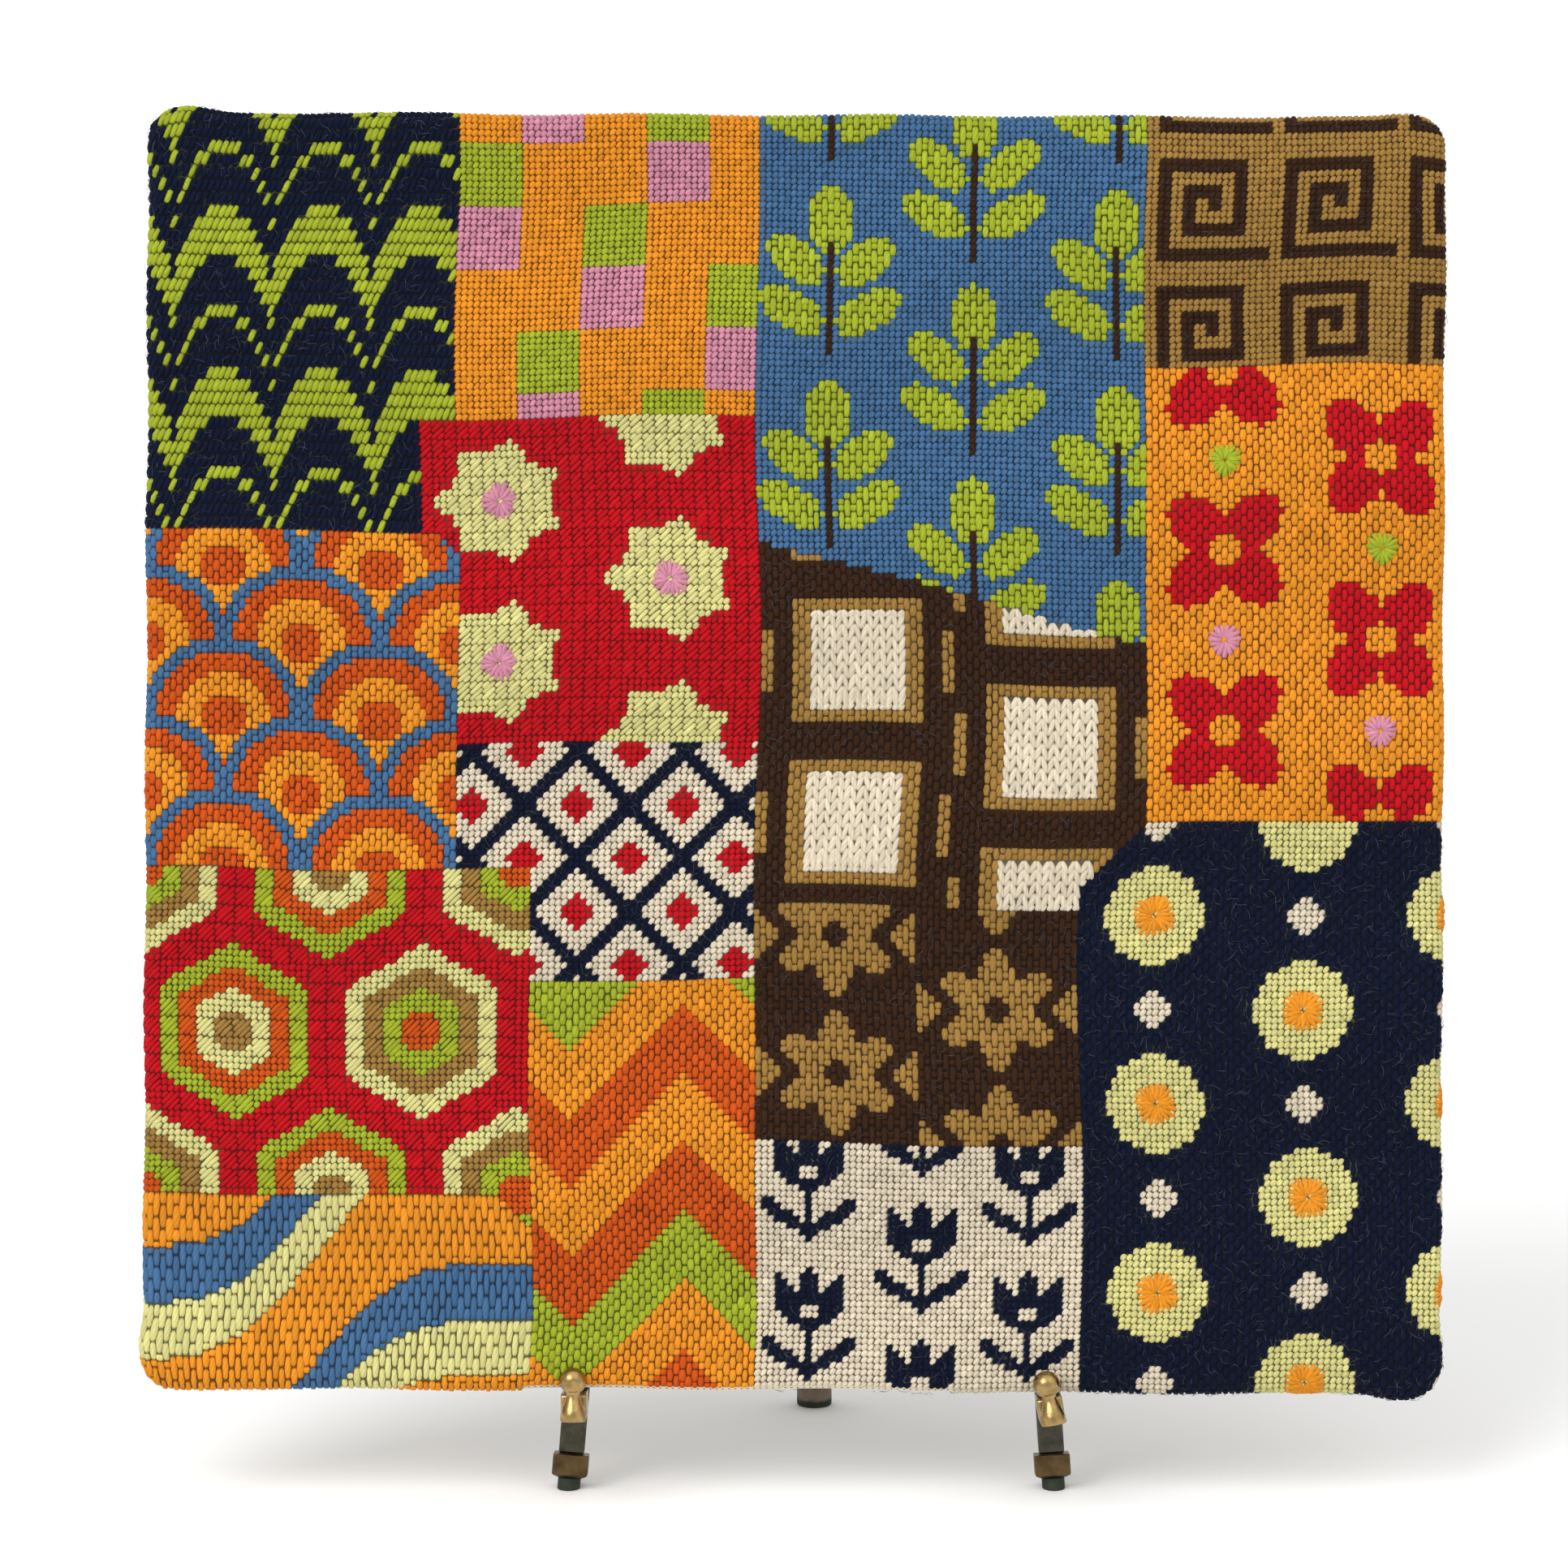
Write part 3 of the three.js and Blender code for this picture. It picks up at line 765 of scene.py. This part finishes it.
def block_stitches(kind):
    """Slanted stitches in little blocks, and tent stitches where a block would cross a motif's edge."""
    wide, high, pattern = BLOCKS[kind]
    inside = worked_in(kind)
    left_over = inside.copy()
    made = []
    first_column = (-COLUMNS[0]) % wide
    first_row = (-ROWS[0]) % high
    for column in range(first_column, len(COLUMNS) - wide + 1, wide):
        for row in range(first_row, len(ROWS) - high + 1, high):
            block = (slice(row, row + high), slice(column, column + wide))
            if not inside[block].all():
                continue
            dye, square = dyes[row, column], squares[row, column]
            if (dyes[block] != dye).any() or (squares[block] != square).any():
                continue
            left_over[block] = False
            x, y = COLUMNS[column], ROWS[row]
            for x0, y0, x1, y1 in pattern:
                loft = LOFT * (0.85 + 0.1 * (x1 - x0))
                made.append((x + x0, y + y0, x + x1, y + y1, BLOCK_HALF, loft, dye, square))
    blocks = np.array(made, float).reshape(-1, 8)
    return np.concatenate([blocks, tent_stitches(left_over)])


def knit_stitches():
    """Tall slants that lean left and right by turns, so that two columns look like a knitted one.

    They start in every second row. The uppermost are cut short, and tent stitches fill the notches below."""
    knit = worked_in("knit")
    lowest = knit & ~np.roll(knit, 1, axis=0)
    rows, columns = np.nonzero(knit & ((ROWS % 2 == 0)[:, None] | lowest))
    x, y = COLUMNS[columns], ROWS[rows]
    right = columns % 2
    one_above = knit[rows + 1, columns]
    two_above = one_above & knit[rows + 2, columns]
    left_end, right_end = np.where(right, x + 0.05, x + 0.95), np.where(right, x + 1, x)
    top = y + 1.05 + one_above + two_above * 0.9
    slants = cell_stitches(rows, columns, left_end, y - 0.1, right_end, top, KNIT_HALF, KNIT_LOFT)
    return np.concatenate([slants, tent_stitches(lowest)])


def eyelet_stitches():
    """Satin rays from a middle out to a little round, raised over the ground."""
    made = []
    for x, y, radius, dye, rays in eyelets:
        square = squares[int(y) + ROUND_SIDE, int(x) + ROUND_SIDE]
        half = math.pi * radius * CELL / rays * RAY_SHARE
        for ray in range(rays):
            angle = 2 * math.pi * ray / rays + 0.1
            out = np.array([math.cos(angle), math.sin(angle)])
            inner = (x, y) + EYELET_MIDDLE * out
            outer = (x, y) + radius * (1 + RAY_UNEVEN * math.sin(5 * ray + x)) * out
            made.append((*inner, *outer, half, EYELET_LOFT, dye, square))
    return np.array(made, float).reshape(-1, 8)


# How a stitch rises from its hole and goes back in: shares of its length, its rise and its width
RISE = np.array([
    (0.00, 0.00, 0.42),
    (0.14, 0.60, 0.80),
    (0.50, 1.00, 1.04),
    (0.86, 0.60, 0.80),
    (1.00, 0.00, 0.42),
])
ROUND = np.radians([0, 55, 125, 180])
OVERLAP = 0.13
# How deep a stitch's edges lie in the canvas, along it and where it dips into its holes
BEDDED, DIPPED = -0.05, -0.22
# The spread of the stitches' ends, widths, rises, bends and tones, and the share of light in a hole
END_SPREAD, WIDTH_SPREAD, RISE_SPREAD, BOW_SPREAD, TONE_SPREAD = 0.07, 0.07, 0.09, 0.05, 0.06
HOLE_SHADE = 0.34


def stitch_surface(stitches):
    """Points (u, v, height) and strand values of the yarn, as stitches by rings by points round."""
    count = len(stitches)
    ends = (stitches[:, :4].reshape(count, 2, 2) - MIDDLE_CELL) * CELL
    ends += random.normal(0, END_SPREAD, ends.shape)
    run = ends[:, 1] - ends[:, 0]
    length = np.linalg.norm(run, axis=1)
    ahead = run / length[:, None]
    beside = np.stack([-ahead[:, 1], ahead[:, 0]], axis=1)
    ends[:, 0] -= ahead * OVERLAP
    run += 2 * ahead * OVERLAP
    half = stitches[:, 4] * random.normal(1, WIDTH_SPREAD, count)
    loft = stitches[:, 5] * random.normal(1, RISE_SPREAD, count)
    share, height, width = RISE.T
    bow = random.normal(0, BOW_SPREAD, count)[:, None] * np.sin(np.pi * share)
    spine = ends[:, None, 0] + run[:, None] * share[:, None] + beside[:, None] * bow[..., None]
    offset = half[:, None, None] * width[None, :, None] * np.cos(ROUND)
    flat = spine[:, :, None] + beside[:, None, None] * offset[..., None]
    lift = loft[:, None, None] * height[None, :, None] * np.sin(ROUND)
    floor = np.where(height > 0, BEDDED, DIPPED)[None, :, None]
    points = np.concatenate([flat, (lift + floor)[..., None]], axis=-1)
    strand = np.empty(points.shape)
    strand[..., 0] = (length[:, None] * share)[..., None]
    strand[..., 1] = np.cos(ROUND)
    strand[..., 2] = random.random(count)[:, None, None]
    return points, strand


def shaded_dyes(stitches, rings, around):
    """Each point's colour: its yarn's dye, a little different in each stitch, with painted shade where it
    dips into its holes.
    """
    base = DYE_COLOURS[stitches[:, 6].astype(int)]
    tone = random.normal(1, TONE_SPREAD, len(stitches))
    batch = 1 + 0.05 * np.sin(stitches[:, 1] / 7 + 2 * np.sin(stitches[:, 0] / 40))
    lit = base * (tone * batch)[:, None]
    # Painted shade: the rings at a stitch's ends, down in its holes, keep only a share of its colour.
    depth = np.where(RISE[:, 1] > 0, 1.0, HOLE_SHADE)
    shaded = lit[:, None, None] * depth[None, :, None, None]
    return np.broadcast_to(shaded, (len(stitches), rings, around, 3))


def add_object(name, mesh, material):
    mesh.materials.append(material)
    piece = bpy.data.objects.new(name, mesh)
    bpy.context.scene.collection.objects.link(piece)
    return piece


def add_mesh(name, points, faces, material):
    """A new smooth object from arrays: points in metres, and faces that all have as many corners."""
    mesh = bpy.data.meshes.new(name)
    corners = faces.shape[1]
    mesh.vertices.add(len(points))
    mesh.vertices.foreach_set("co", points.astype(np.float32).ravel())
    mesh.loops.add(faces.size)
    mesh.loops.foreach_set("vertex_index", faces.astype(np.int32).ravel())
    mesh.polygons.add(len(faces))
    mesh.polygons.foreach_set("loop_start", np.arange(0, faces.size, corners, dtype=np.int32))
    mesh.polygons.foreach_set("use_smooth", np.full(len(faces), True))
    mesh.update(calc_edges=True)
    return add_object(name, mesh, material)


def add_values(mesh, name, values, kind="FLOAT_VECTOR", field="vector"):
    """Numbers kept at each vertex, for the finishes."""
    layer = mesh.attributes.new(name, kind, "POINT")
    layer.data.foreach_set(field, values.astype(np.float32).ravel())


# The colour kept in the dye values, with light and shade painted in: shade in the stitches' holes and under
# the wool on the canvas, and light in the loose fibres.
def add_dye_and_painted_light(mesh, colour):
    colour = colour.reshape(-1, 3)
    add_values(mesh, "dye", np.column_stack([colour, np.ones(len(colour))]), "FLOAT_COLOR", "color")


def add_flat_map(mesh, places):
    """The map that the surface is unrolled to, one place for each vertex."""
    low, high = places.min(0), places.max(0)
    share = (places - low) / (high - low).max()
    corner = np.empty(len(mesh.loops), np.int32)
    mesh.loops.foreach_get("vertex_index", corner)
    mesh.uv_layers.new(name="OFBake").data.foreach_set("uv", share[corner].astype(np.float32).ravel())


def tube_faces(count, rings, around):
    """Faces of so many open half tubes, whose points run round each ring and then from ring to ring."""
    ring, point = np.meshgrid(np.arange(rings - 1), np.arange(around - 1), indexing="ij")
    first = (ring * around + point).ravel()
    one = np.stack([first, first + around, first + around + 1, first + 1], axis=-1)
    return (one[None] + (np.arange(count) * rings * around)[:, None, None]).reshape(-1, 4)


def lay_tubes(name, points, colour, material):
    """Yarn on the canvas, from its points (u, v, height) as tubes by rings by points round."""
    flat = points.reshape(-1, 3)
    piece = add_mesh(name, on_canvas(*flat.T), tube_faces(*points.shape[:3]), material)
    add_dye_and_painted_light(piece.data, colour)
    add_flat_map(piece.data, flat[:, :2])
    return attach(piece, "root")


def corner_reach(u, v):
    """How far out of the corners' middles these places of the canvas lie, and which are in a corner."""
    out_u, out_v = np.maximum(np.abs(u) - CORE[0], 0), np.maximum(np.abs(v) - CORE[1], 0)
    return np.hypot(out_u, out_v), (out_u > 0) & (out_v > 0)


def thin_corners(stitches):
    """Leaves out the stitches that the folds at the corners take in or would crowd together."""
    middle = (stitches[:, :2] / 2 + stitches[:, 2:4] / 2 - MIDDLE_CELL) * CELL
    reach, in_corner = corner_reach(*middle.T)
    crowded = in_corner & (reach > CORNER_RADIUS)
    kept = ~crowded | (random.random(len(stitches)) < CORNER_RADIUS / np.maximum(reach, 1))
    return stitches[kept & ~(in_corner & (reach > WORKED_REACH))]


def lay_wool(material):
    """All stitches, one mesh for each square of the patchwork."""
    made = [tent_stitches(worked_in("tent")), knit_stitches(), eyelet_stitches()]
    made += [upright_stitches(kind) for kind in UPRIGHT]
    made += [block_stitches(kind) for kind in BLOCKS]
    stitches = thin_corners(np.concatenate(made))
    for number, name in enumerate(square_names):
        own = stitches[stitches[:, 7] == number]
        points, strand = stitch_surface(own)
        piece = lay_tubes(f"wool_{name}", points, shaded_dyes(own, *points.shape[1:3]), material)
        add_values(piece.data, "strand", strand)


FIBRES = 4600
FIBRE_LENGTHS, FIBRE_BEND = (1.2, 4.2), 0.9
FIBRE_FOOT, FIBRE_RISES = 0.75, (0.15, 0.75)
# Half a fibre's thickness, along it
FIBRE_HALF = 0.065 * np.array([1.0, 1.0, 0.8, 0.3])
FIBRE_ROUND = np.radians([0, 120, 240, 360])
FIBRE_DYE, FIBRE_LIGHT, FIBRE_LIGHTS = 0.35, np.array([0.075, 0.075, 0.095]), (0.4, 1.4)


def lay_fibres(material):
    """Loose fibres that stand off the dark yarns, paler than they are because light shines through."""
    rows, columns = np.nonzero(np.isin(dyes, FUZZY))
    picked = random.choice(len(rows), FIBRES, replace=False)
    rows, columns = rows[picked], columns[picked]
    start = np.stack([COLUMNS[columns], ROWS[rows]], axis=1) + random.random((FIBRES, 2))
    start = (start - MIDDLE_CELL) * CELL
    heading = random.uniform(0, 2 * math.pi, FIBRES)
    length = random.uniform(*FIBRE_LENGTHS, FIBRES)
    bend = random.normal(0, FIBRE_BEND, FIBRES)
    shares = np.linspace(0, 1, len(FIBRE_HALF))
    angle = heading[:, None] + bend[:, None] * shares
    step = np.stack([np.cos(angle), np.sin(angle)], axis=-1) * (length[:, None] * shares)[..., None]
    rise = random.uniform(*FIBRE_RISES, FIBRES)[:, None] * np.sin(np.pi * shares * 0.9)
    spine = np.concatenate([start[:, None] + step, (FIBRE_FOOT + rise)[..., None]], axis=-1)
    side = np.stack([-np.sin(angle), np.cos(angle)], axis=-1)
    points = np.repeat(spine[:, :, None], len(FIBRE_ROUND), axis=2)
    points[..., :2] += side[:, :, None] * (FIBRE_HALF[:, None] * np.cos(FIBRE_ROUND))[None, ..., None]
    points[..., 2] += (FIBRE_HALF[:, None] * np.sin(FIBRE_ROUND))[None]
    light = FIBRE_LIGHT * random.uniform(*FIBRE_LIGHTS, (FIBRES, 1))
    colour = DYE_COLOURS[dyes[rows, columns]] * FIBRE_DYE + light
    colour = np.repeat(colour, len(FIBRE_HALF) * len(FIBRE_ROUND), axis=0)
    lay_tubes("loose_fibres", points, colour, material)


# Canvas and board

# The lines of the canvas's mesh, from its middle to the bends, over the bends, and over and along a margin
FACE_LINES, BEND_LINES = 48, 30
MARGIN_LINES, MARGIN_STEPS = 14, 60
# The canvas under the wool is painted in its colour, darker: painted shade for the pinholes between the
# stitches
PINHOLE_SHADE = 0.16
NO_AREA = 1e-12


def canvas_lines(core):
    """Lines of the canvas's own mesh, from its middle out: wide apart on the face, close on the bends."""
    turned = core + FLAT_RIM + (FRONT_BEND + BACK_BEND) * QUARTER + SIDE_DEPTH
    face = np.linspace(0, core, FACE_LINES)
    bends = np.linspace(core, turned, BEND_LINES)[1:]
    out = np.concatenate([face, bends])
    return np.concatenate([-out[:0:-1], out]), turned


def grid_faces(rows, columns):
    row, column = np.meshgrid(np.arange(rows - 1), np.arange(columns - 1), indexing="ij")
    first = (row * columns + column).ravel()
    return np.stack([first, first + 1, first + columns + 1, first + columns], axis=-1)


def turned_margin(own, other, turned):
    """One side's margin, turned over the back: how far out it lies, along the side, and out on the canvas.

    Its ends follow the corner's round and then the mitre."""
    rim = FLAT_RIM + FRONT_BEND - BACK_BEND
    over, share = np.meshgrid(
        np.linspace(0, MARGIN, MARGIN_LINES), np.linspace(-1, 1, MARGIN_STEPS), indexing="ij",
    )
    from_rim = rim - over
    end = other + np.minimum(np.sqrt(np.maximum(rim ** 2 - from_rim ** 2, 0)), from_rim)
    return own + from_rim, share * end, turned + over


def canvas_grids():
    """The canvas's parts as (places, faces, u, v), and how far out on it the sides' back edges lie."""
    across, turned_u = canvas_lines(CORE[0])
    up, turned_v = canvas_lines(CORE[1])
    u, v = np.meshgrid(across, up)
    reach, in_corner = corner_reach(u, v)
    shrink = np.minimum(1, (turned_u - CORE[0]) / np.maximum(reach, 1e-9))
    u = np.where(in_corner, np.sign(u) * (CORE[0] + (np.abs(u) - CORE[0]) * shrink), u)
    v = np.where(in_corner, np.sign(v) * (CORE[1] + (np.abs(v) - CORE[1]) * shrink), v)
    grids = [(on_canvas(u, v, np.zeros_like(u)), grid_faces(*u.shape), u, v)]
    depth = PILE + FRONT_BEND + SIDE_DEPTH + BACK_BEND
    for side in (-1, 1):
        out, along, spread = turned_margin(CORE[0], CORE[1], turned_u)
        back = np.full_like(out, depth)
        faces = grid_faces(*out.shape)
        grids.append((on_panel(side * out, back, along), faces[:, ::-side], side * spread, along))
        out, along, spread = turned_margin(CORE[1], CORE[0], turned_v)
        grids.append((on_panel(along, back, side * out), faces[:, ::side], along, side * spread))
    return grids, (turned_u, turned_v)


def make_canvas(material):
    """The canvas in one sheet: face, sides, and the margin that is turned over the back and mitred."""
    grids, turned = canvas_grids()
    starts = np.cumsum([0] + [grid[2].size for grid in grids])
    places = np.concatenate([grid[0].reshape(-1, 3) for grid in grids])
    faces = np.concatenate([grid[1] + first for grid, first in zip(grids, starts)])
    u, v = [np.concatenate([grid[i].ravel() for grid in grids]) for i in (2, 3)]
    corners = places[faces]
    diagonal = np.cross(corners[:, 2] - corners[:, 0], corners[:, 3] - corners[:, 1])
    faces = faces[np.linalg.norm(diagonal, axis=1) > NO_AREA]
    piece = add_mesh("stretched_canvas", places, faces, material)
    reach, in_corner = corner_reach(u, v)
    covered = (np.abs(u) < WORKED[0]) & (np.abs(v) < WORKED[1]) & ~(in_corner & (reach > WORKED_REACH))
    column = np.clip((u / CELL + MIDDLE_CELL[0]).astype(int) + ROUND_SIDE, 0, len(COLUMNS) - 1)
    row = np.clip((v / CELL + MIDDLE_CELL[1]).astype(int) + ROUND_SIDE, 0, len(ROWS) - 1)
    covered &= kinds[row, column] != UNWORKED
    # Painted shade for the pinholes: the canvas under the wool gets its cell's dye, darkened.
    add_dye_and_painted_light(piece.data, DYE_COLOURS[dyes[row, column]] * PINHOLE_SHADE)
    add_values(piece.data, "flat", np.stack([u / CELL, v / CELL, covered], axis=-1))
    add_flat_map(piece.data, np.stack([u, v], axis=-1))
    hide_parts("panel")
    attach(piece, "root")
    return piece, tuple(float(2 * (edge + MARGIN) * MM) for edge in turned)


def board_outline(half, radius):
    """Points round the filling board: each corner's round, then the straight side after it."""
    arc_points, side_steps = 7, 60
    arcs = []
    for across, up, start in ((1, 1, 0), (-1, 1, 90), (-1, -1, 180), (1, -1, 270)):
        turns = np.radians(np.linspace(start, start + 90, arc_points))
        out = np.stack([np.cos(turns), np.sin(turns)], axis=-1)
        arcs.append((half - radius) * [across, up] + radius * out)
    outline = []
    for arc, following in zip(arcs, arcs[1:] + arcs[:1]):
        outline += [arc, np.linspace(arc[-1], following[0], side_steps + 1)[1:-1]]
    return np.concatenate(outline)


def make_board(material):
    """The firm square filling, which shows inside the canvas's turned margin."""
    inset = 1.9
    front, back = 3.4, THICKNESS - 1.3
    front_bevel, back_bevel = 2.0, 1.0
    half = np.array([WIDTH / 2 - inset, HEIGHT / 2 - inset])
    outline = board_outline(half, CORNER_RADIUS - inset)
    count = len(outline)
    rings = [
        (front, front_bevel), (front + front_bevel, 0.0), (back - back_bevel, 0.0), (back, back_bevel),
    ]
    points = []
    for depth, taken in rings:
        x, z = (outline * (1 - taken / half)).T
        points += on_panel(x, np.full(count, depth), z).tolist()
    faces = [
        (low + i, low + count + i, low + count + (i + 1) % count, low + (i + 1) % count)
        for low in range(0, count * (len(rings) - 1), count) for i in range(count)
    ]
    back_face = [len(points) - 1 - i for i in range(count)]
    mesh = bpy.data.meshes.new("filling_board")
    mesh.from_pydata(points, [], faces + [list(range(count)), back_face])
    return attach(add_object("filling_board", mesh, material), "root")


# Stand

SPLIT_WIDTH = 0.00001
SHARP_ANGLE, BEVEL_ANGLE = math.radians(35), math.radians(40)


def tidy_shading():
    """Geometry Nodes that join split vertices and shade all but the sharp edges smooth."""
    tree = bpy.data.node_groups.new("tidy_shading", "GeometryNodeTree")
    for way in ("INPUT", "OUTPUT"):
        tree.interface.new_socket("Geometry", in_out=way, socket_type="NodeSocketGeometry")
    start, end, merge, bend, soft, faces, edges = [
        tree.nodes.new(kind) for kind in (
            "NodeGroupInput", "NodeGroupOutput", "GeometryNodeMergeByDistance",
            "GeometryNodeInputMeshEdgeAngle", "FunctionNodeCompare",
            "GeometryNodeSetShadeSmooth", "GeometryNodeSetShadeSmooth",
        )
    ]
    merge.inputs["Distance"].default_value = SPLIT_WIDTH
    soft.operation = "LESS_THAN"
    soft.inputs[1].default_value = SHARP_ANGLE
    faces.domain = "FACE"
    edges.domain = "EDGE"
    for first, then, socket in (
        (start, merge, 0), (merge, faces, 0), (faces, edges, 0),
        (bend, soft, 0), (soft, edges, "Shade Smooth"), (edges, end, 0),
    ):
        tree.links.new(first.outputs[0], then.inputs[socket])
    return tree


def dress(node, material, bevel, shading):
    """Gives a CAD piece its finish, and rounds its edges by so many millimetres."""
    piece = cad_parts[node]
    for slot in piece.material_slots:
        slot.material = material
    piece.modifiers.new("tidy_shading", "NODES").node_group = shading
    rounding = piece.modifiers.new("rounded_edges", "BEVEL")
    rounding.width = bevel * MM
    rounding.segments = 3
    rounding.limit_method = "ANGLE"
    rounding.angle_limit = BEVEL_ANGLE


BAR = 8.0
GAP = 0.3
BALL, BALL_RISE = 4.2, 4.7
NECK, NECK_BASE = 2.2, 4.0
FLARE_LOW, FLARE_HIGH = 1.8, 8.4
KNOB_FORWARD = 5.0
KNOB_AROUND, FLARE_RINGS, BALL_RINGS = 56, 14, 22
FACET = 1.85
FACET_DIP = math.radians(24)
# name, its arm's place across, how far the arm is turned about its own length and lies lower for that
HOOKS = [("left", -75.0, 0.0, 0.0), ("right", 74.0, math.radians(-11), 0.3)]


def knob_profile():
    """Radius and height up the knob from its underside: rounded foot, long flare to the neck, and ball."""
    profile = [(0.0, 0.0), (NECK_BASE - 0.45, 0.0), (NECK_BASE - 0.1, 0.2), (NECK_BASE, 0.6)]
    for step in range(FLARE_RINGS + 1):
        share = step / FLARE_RINGS
        radius = NECK + (NECK_BASE - NECK) * (0.5 + 0.5 * math.cos(math.pi * share))
        profile.append((radius, FLARE_LOW + (FLARE_HIGH - FLARE_LOW) * share))
    neck_angle = math.asin(NECK / BALL)
    for step in range(BALL_RINGS):
        angle = neck_angle + (math.pi - neck_angle) * step / BALL_RINGS
        profile.append((BALL * math.sin(angle), BAR + BALL_RISE - BALL * math.cos(angle)))
    return profile + [(0.0, BAR + BALL_RISE + BALL)]


def flatten_ball(points):
    """The small flat that the ball's casting leaves in front."""
    facing = np.array([0.0, -math.cos(FACET_DIP), -math.sin(FACET_DIP)])
    beyond = (points - [0.0, 0.0, BAR + BALL_RISE]) @ facing - math.sqrt(BALL ** 2 - FACET ** 2)
    beyond[points[:, 2] < BAR] = 0
    points -= np.maximum(beyond, 0)[:, None] * facing


def make_knob(name, arm_x, turn, drop, material):
    """The turned knob that keeps the panel in."""
    (_, bottom), *rings, (_, top) = knob_profile()
    angles = np.arange(KNOB_AROUND) * 2 * math.pi / KNOB_AROUND
    points = [(r * math.cos(a), r * math.sin(a), z) for r, z in rings for a in angles]
    points = np.array([(0.0, 0.0, bottom)] + points + [(0.0, 0.0, top)])
    last = len(points) - 1
    faces = []
    for i in range(KNOB_AROUND):
        j = (i + 1) % KNOB_AROUND
        faces.append((0, 1 + j, 1 + i))
        for low in range(1, last - KNOB_AROUND, KNOB_AROUND):
            high = low + KNOB_AROUND
            faces.append((low + i, low + j, high + j, high + i))
        faces.append((last - KNOB_AROUND + i, last - KNOB_AROUND + j, last))
    flatten_ball(points)
    points[:, 2] -= BAR / 2
    arm_top = -(arm_x - CENTRE_X) * math.sin(ROLL) - EDGE_WAVE - GAP - drop
    x = arm_x + points[:, 0] * math.cos(turn) + points[:, 2] * math.sin(turn)
    z = arm_top - BAR / 2 - points[:, 0] * math.sin(turn) + points[:, 2] * math.cos(turn)
    places = (ORIGIN + lean(x, points[:, 1] - KNOB_FORWARD, z)) * MM
    mesh = bpy.data.meshes.new(f"turned_knob_{name}")
    mesh.from_pydata(places.tolist(), [], faces)
    mesh.polygons.foreach_set("use_smooth", [True] * len(faces))
    piece = add_object(f"turned_knob_{name}", mesh, material)
    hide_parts(f"knob_{name}")
    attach(piece, "root")


def dress_stand(brass, bronze, brown_brass, green_rubber, brown_rubber):
    for hook in HOOKS:
        make_knob(*hook, brass)
    pairs = (("leg", bronze, 0.6), ("arm", brass, 0.7), ("collar", brown_brass, 0.5),
             ("tip", green_rubber, 0.7), ("hinge_ear", bronze, 0.4))
    dressed = [(f"{name}_{side}", *rest) for side in ("left", "right") for name, *rest in pairs]
    dressed += [
        ("cross_bar_top", bronze, 0.6), ("cross_bar_low", bronze, 0.6), ("hinge_pin", brass, 0.3),
        ("rear_leg", bronze, 0.4), ("rear_cap", brown_rubber, 0.3),
    ]
    shading = tidy_shading()
    for node, material, bevel in dressed:
        dress(node, material, bevel, shading)


# Surroundings

def soft_light(name, source, power, spread):
    """A light that comes from the side where source lies, as wide in the sky as a studio's soft box."""
    light = bpy.data.lights.new(name, "SUN")
    light.energy = power
    light.angle = math.radians(spread)
    lamp = bpy.data.objects.new(name, light)
    lamp.rotation_euler = (-Vector(source)).to_track_quat("-Z", "Y").to_euler()
    bpy.context.scene.collection.objects.link(lamp)


def light_studio():
    """Soft daylight from the left, with plain colours, so that each dye looks as it is."""
    world = bpy.data.worlds.new("studio")
    bpy.context.scene.world = world
    bpy.context.scene.view_settings.view_transform = "Standard"
    world.use_nodes = True
    sky = world.node_tree.nodes["Background"]
    sky.inputs["Color"].default_value = (1.0, 1.0, 1.0, 1.0)
    sky.inputs["Strength"].default_value = 0.72
    soft_light("window", (-1.0, -1.15, 1.25), 1.6, 38)
    soft_light("fill", (1.3, -1.2, 0.9), 0.25, 60)
    soft_light("above", (0.1, -0.2, 1.0), 0.75, 80)


def make_floor():
    """Pale paper, a hair below the stand's feet; its corners are in metres."""
    reach, level = 30.0, -0.0001
    corners = [(-reach, -reach, level), (reach, -reach, level), (reach, reach, level), (-reach, reach, level)]
    add_mesh("floor", np.array(corners), np.array([[0, 1, 2, 3]]), floor_paper())


def place_camera():
    """Looks straight at the panel's face, where the photograph is 489 mm wide."""
    distance, view_width, sensor = 2200.0, 489.0, 36.0
    view_x, view_z = -9.36, 190.1
    camera = bpy.data.cameras.new("camera")
    camera.sensor_width = sensor
    camera.lens = sensor * distance / view_width
    camera.clip_end = 60
    eye = bpy.data.objects.new("camera", camera)
    place = (ORIGIN + lean(view_x, -distance, view_z)) * MM
    right, above, behind = lean(1, 0, 0), lean(0, 0, 1), lean(0, -1, 0)
    eye.matrix_world = Matrix.Translation(place) @ Matrix((right, above, behind)).transposed().to_4x4()
    bpy.context.scene.collection.objects.link(eye)
    bpy.context.scene.camera = eye


def main():
    fill_sampler()
    place_camera()
    light_studio()
    make_floor()
    lay_wool(wool_yarn())
    lay_fibres(loose_fibre())
    canvas, flat_size = make_canvas(bare_canvas())
    filling = make_board(board())
    brass = aged_metal("brass", (0.44, 0.30, 0.12, 1), (0.21, 0.14, 0.055, 1), 0.18)
    bronze = aged_metal("dark_bronze", (0.085, 0.080, 0.060, 1), (0.04, 0.036, 0.026, 1), 0.3)
    brown_brass = aged_metal("brown_brass", (0.13, 0.085, 0.038, 1), (0.06, 0.038, 0.017, 1), 0.34)
    green_rubber = rubber("green_rubber", (0.035, 0.05, 0.03, 1), (0.01, 0.016, 0.009, 1))
    dress_stand(brass, bronze, brown_brass, green_rubber, rear_rubber())


main()
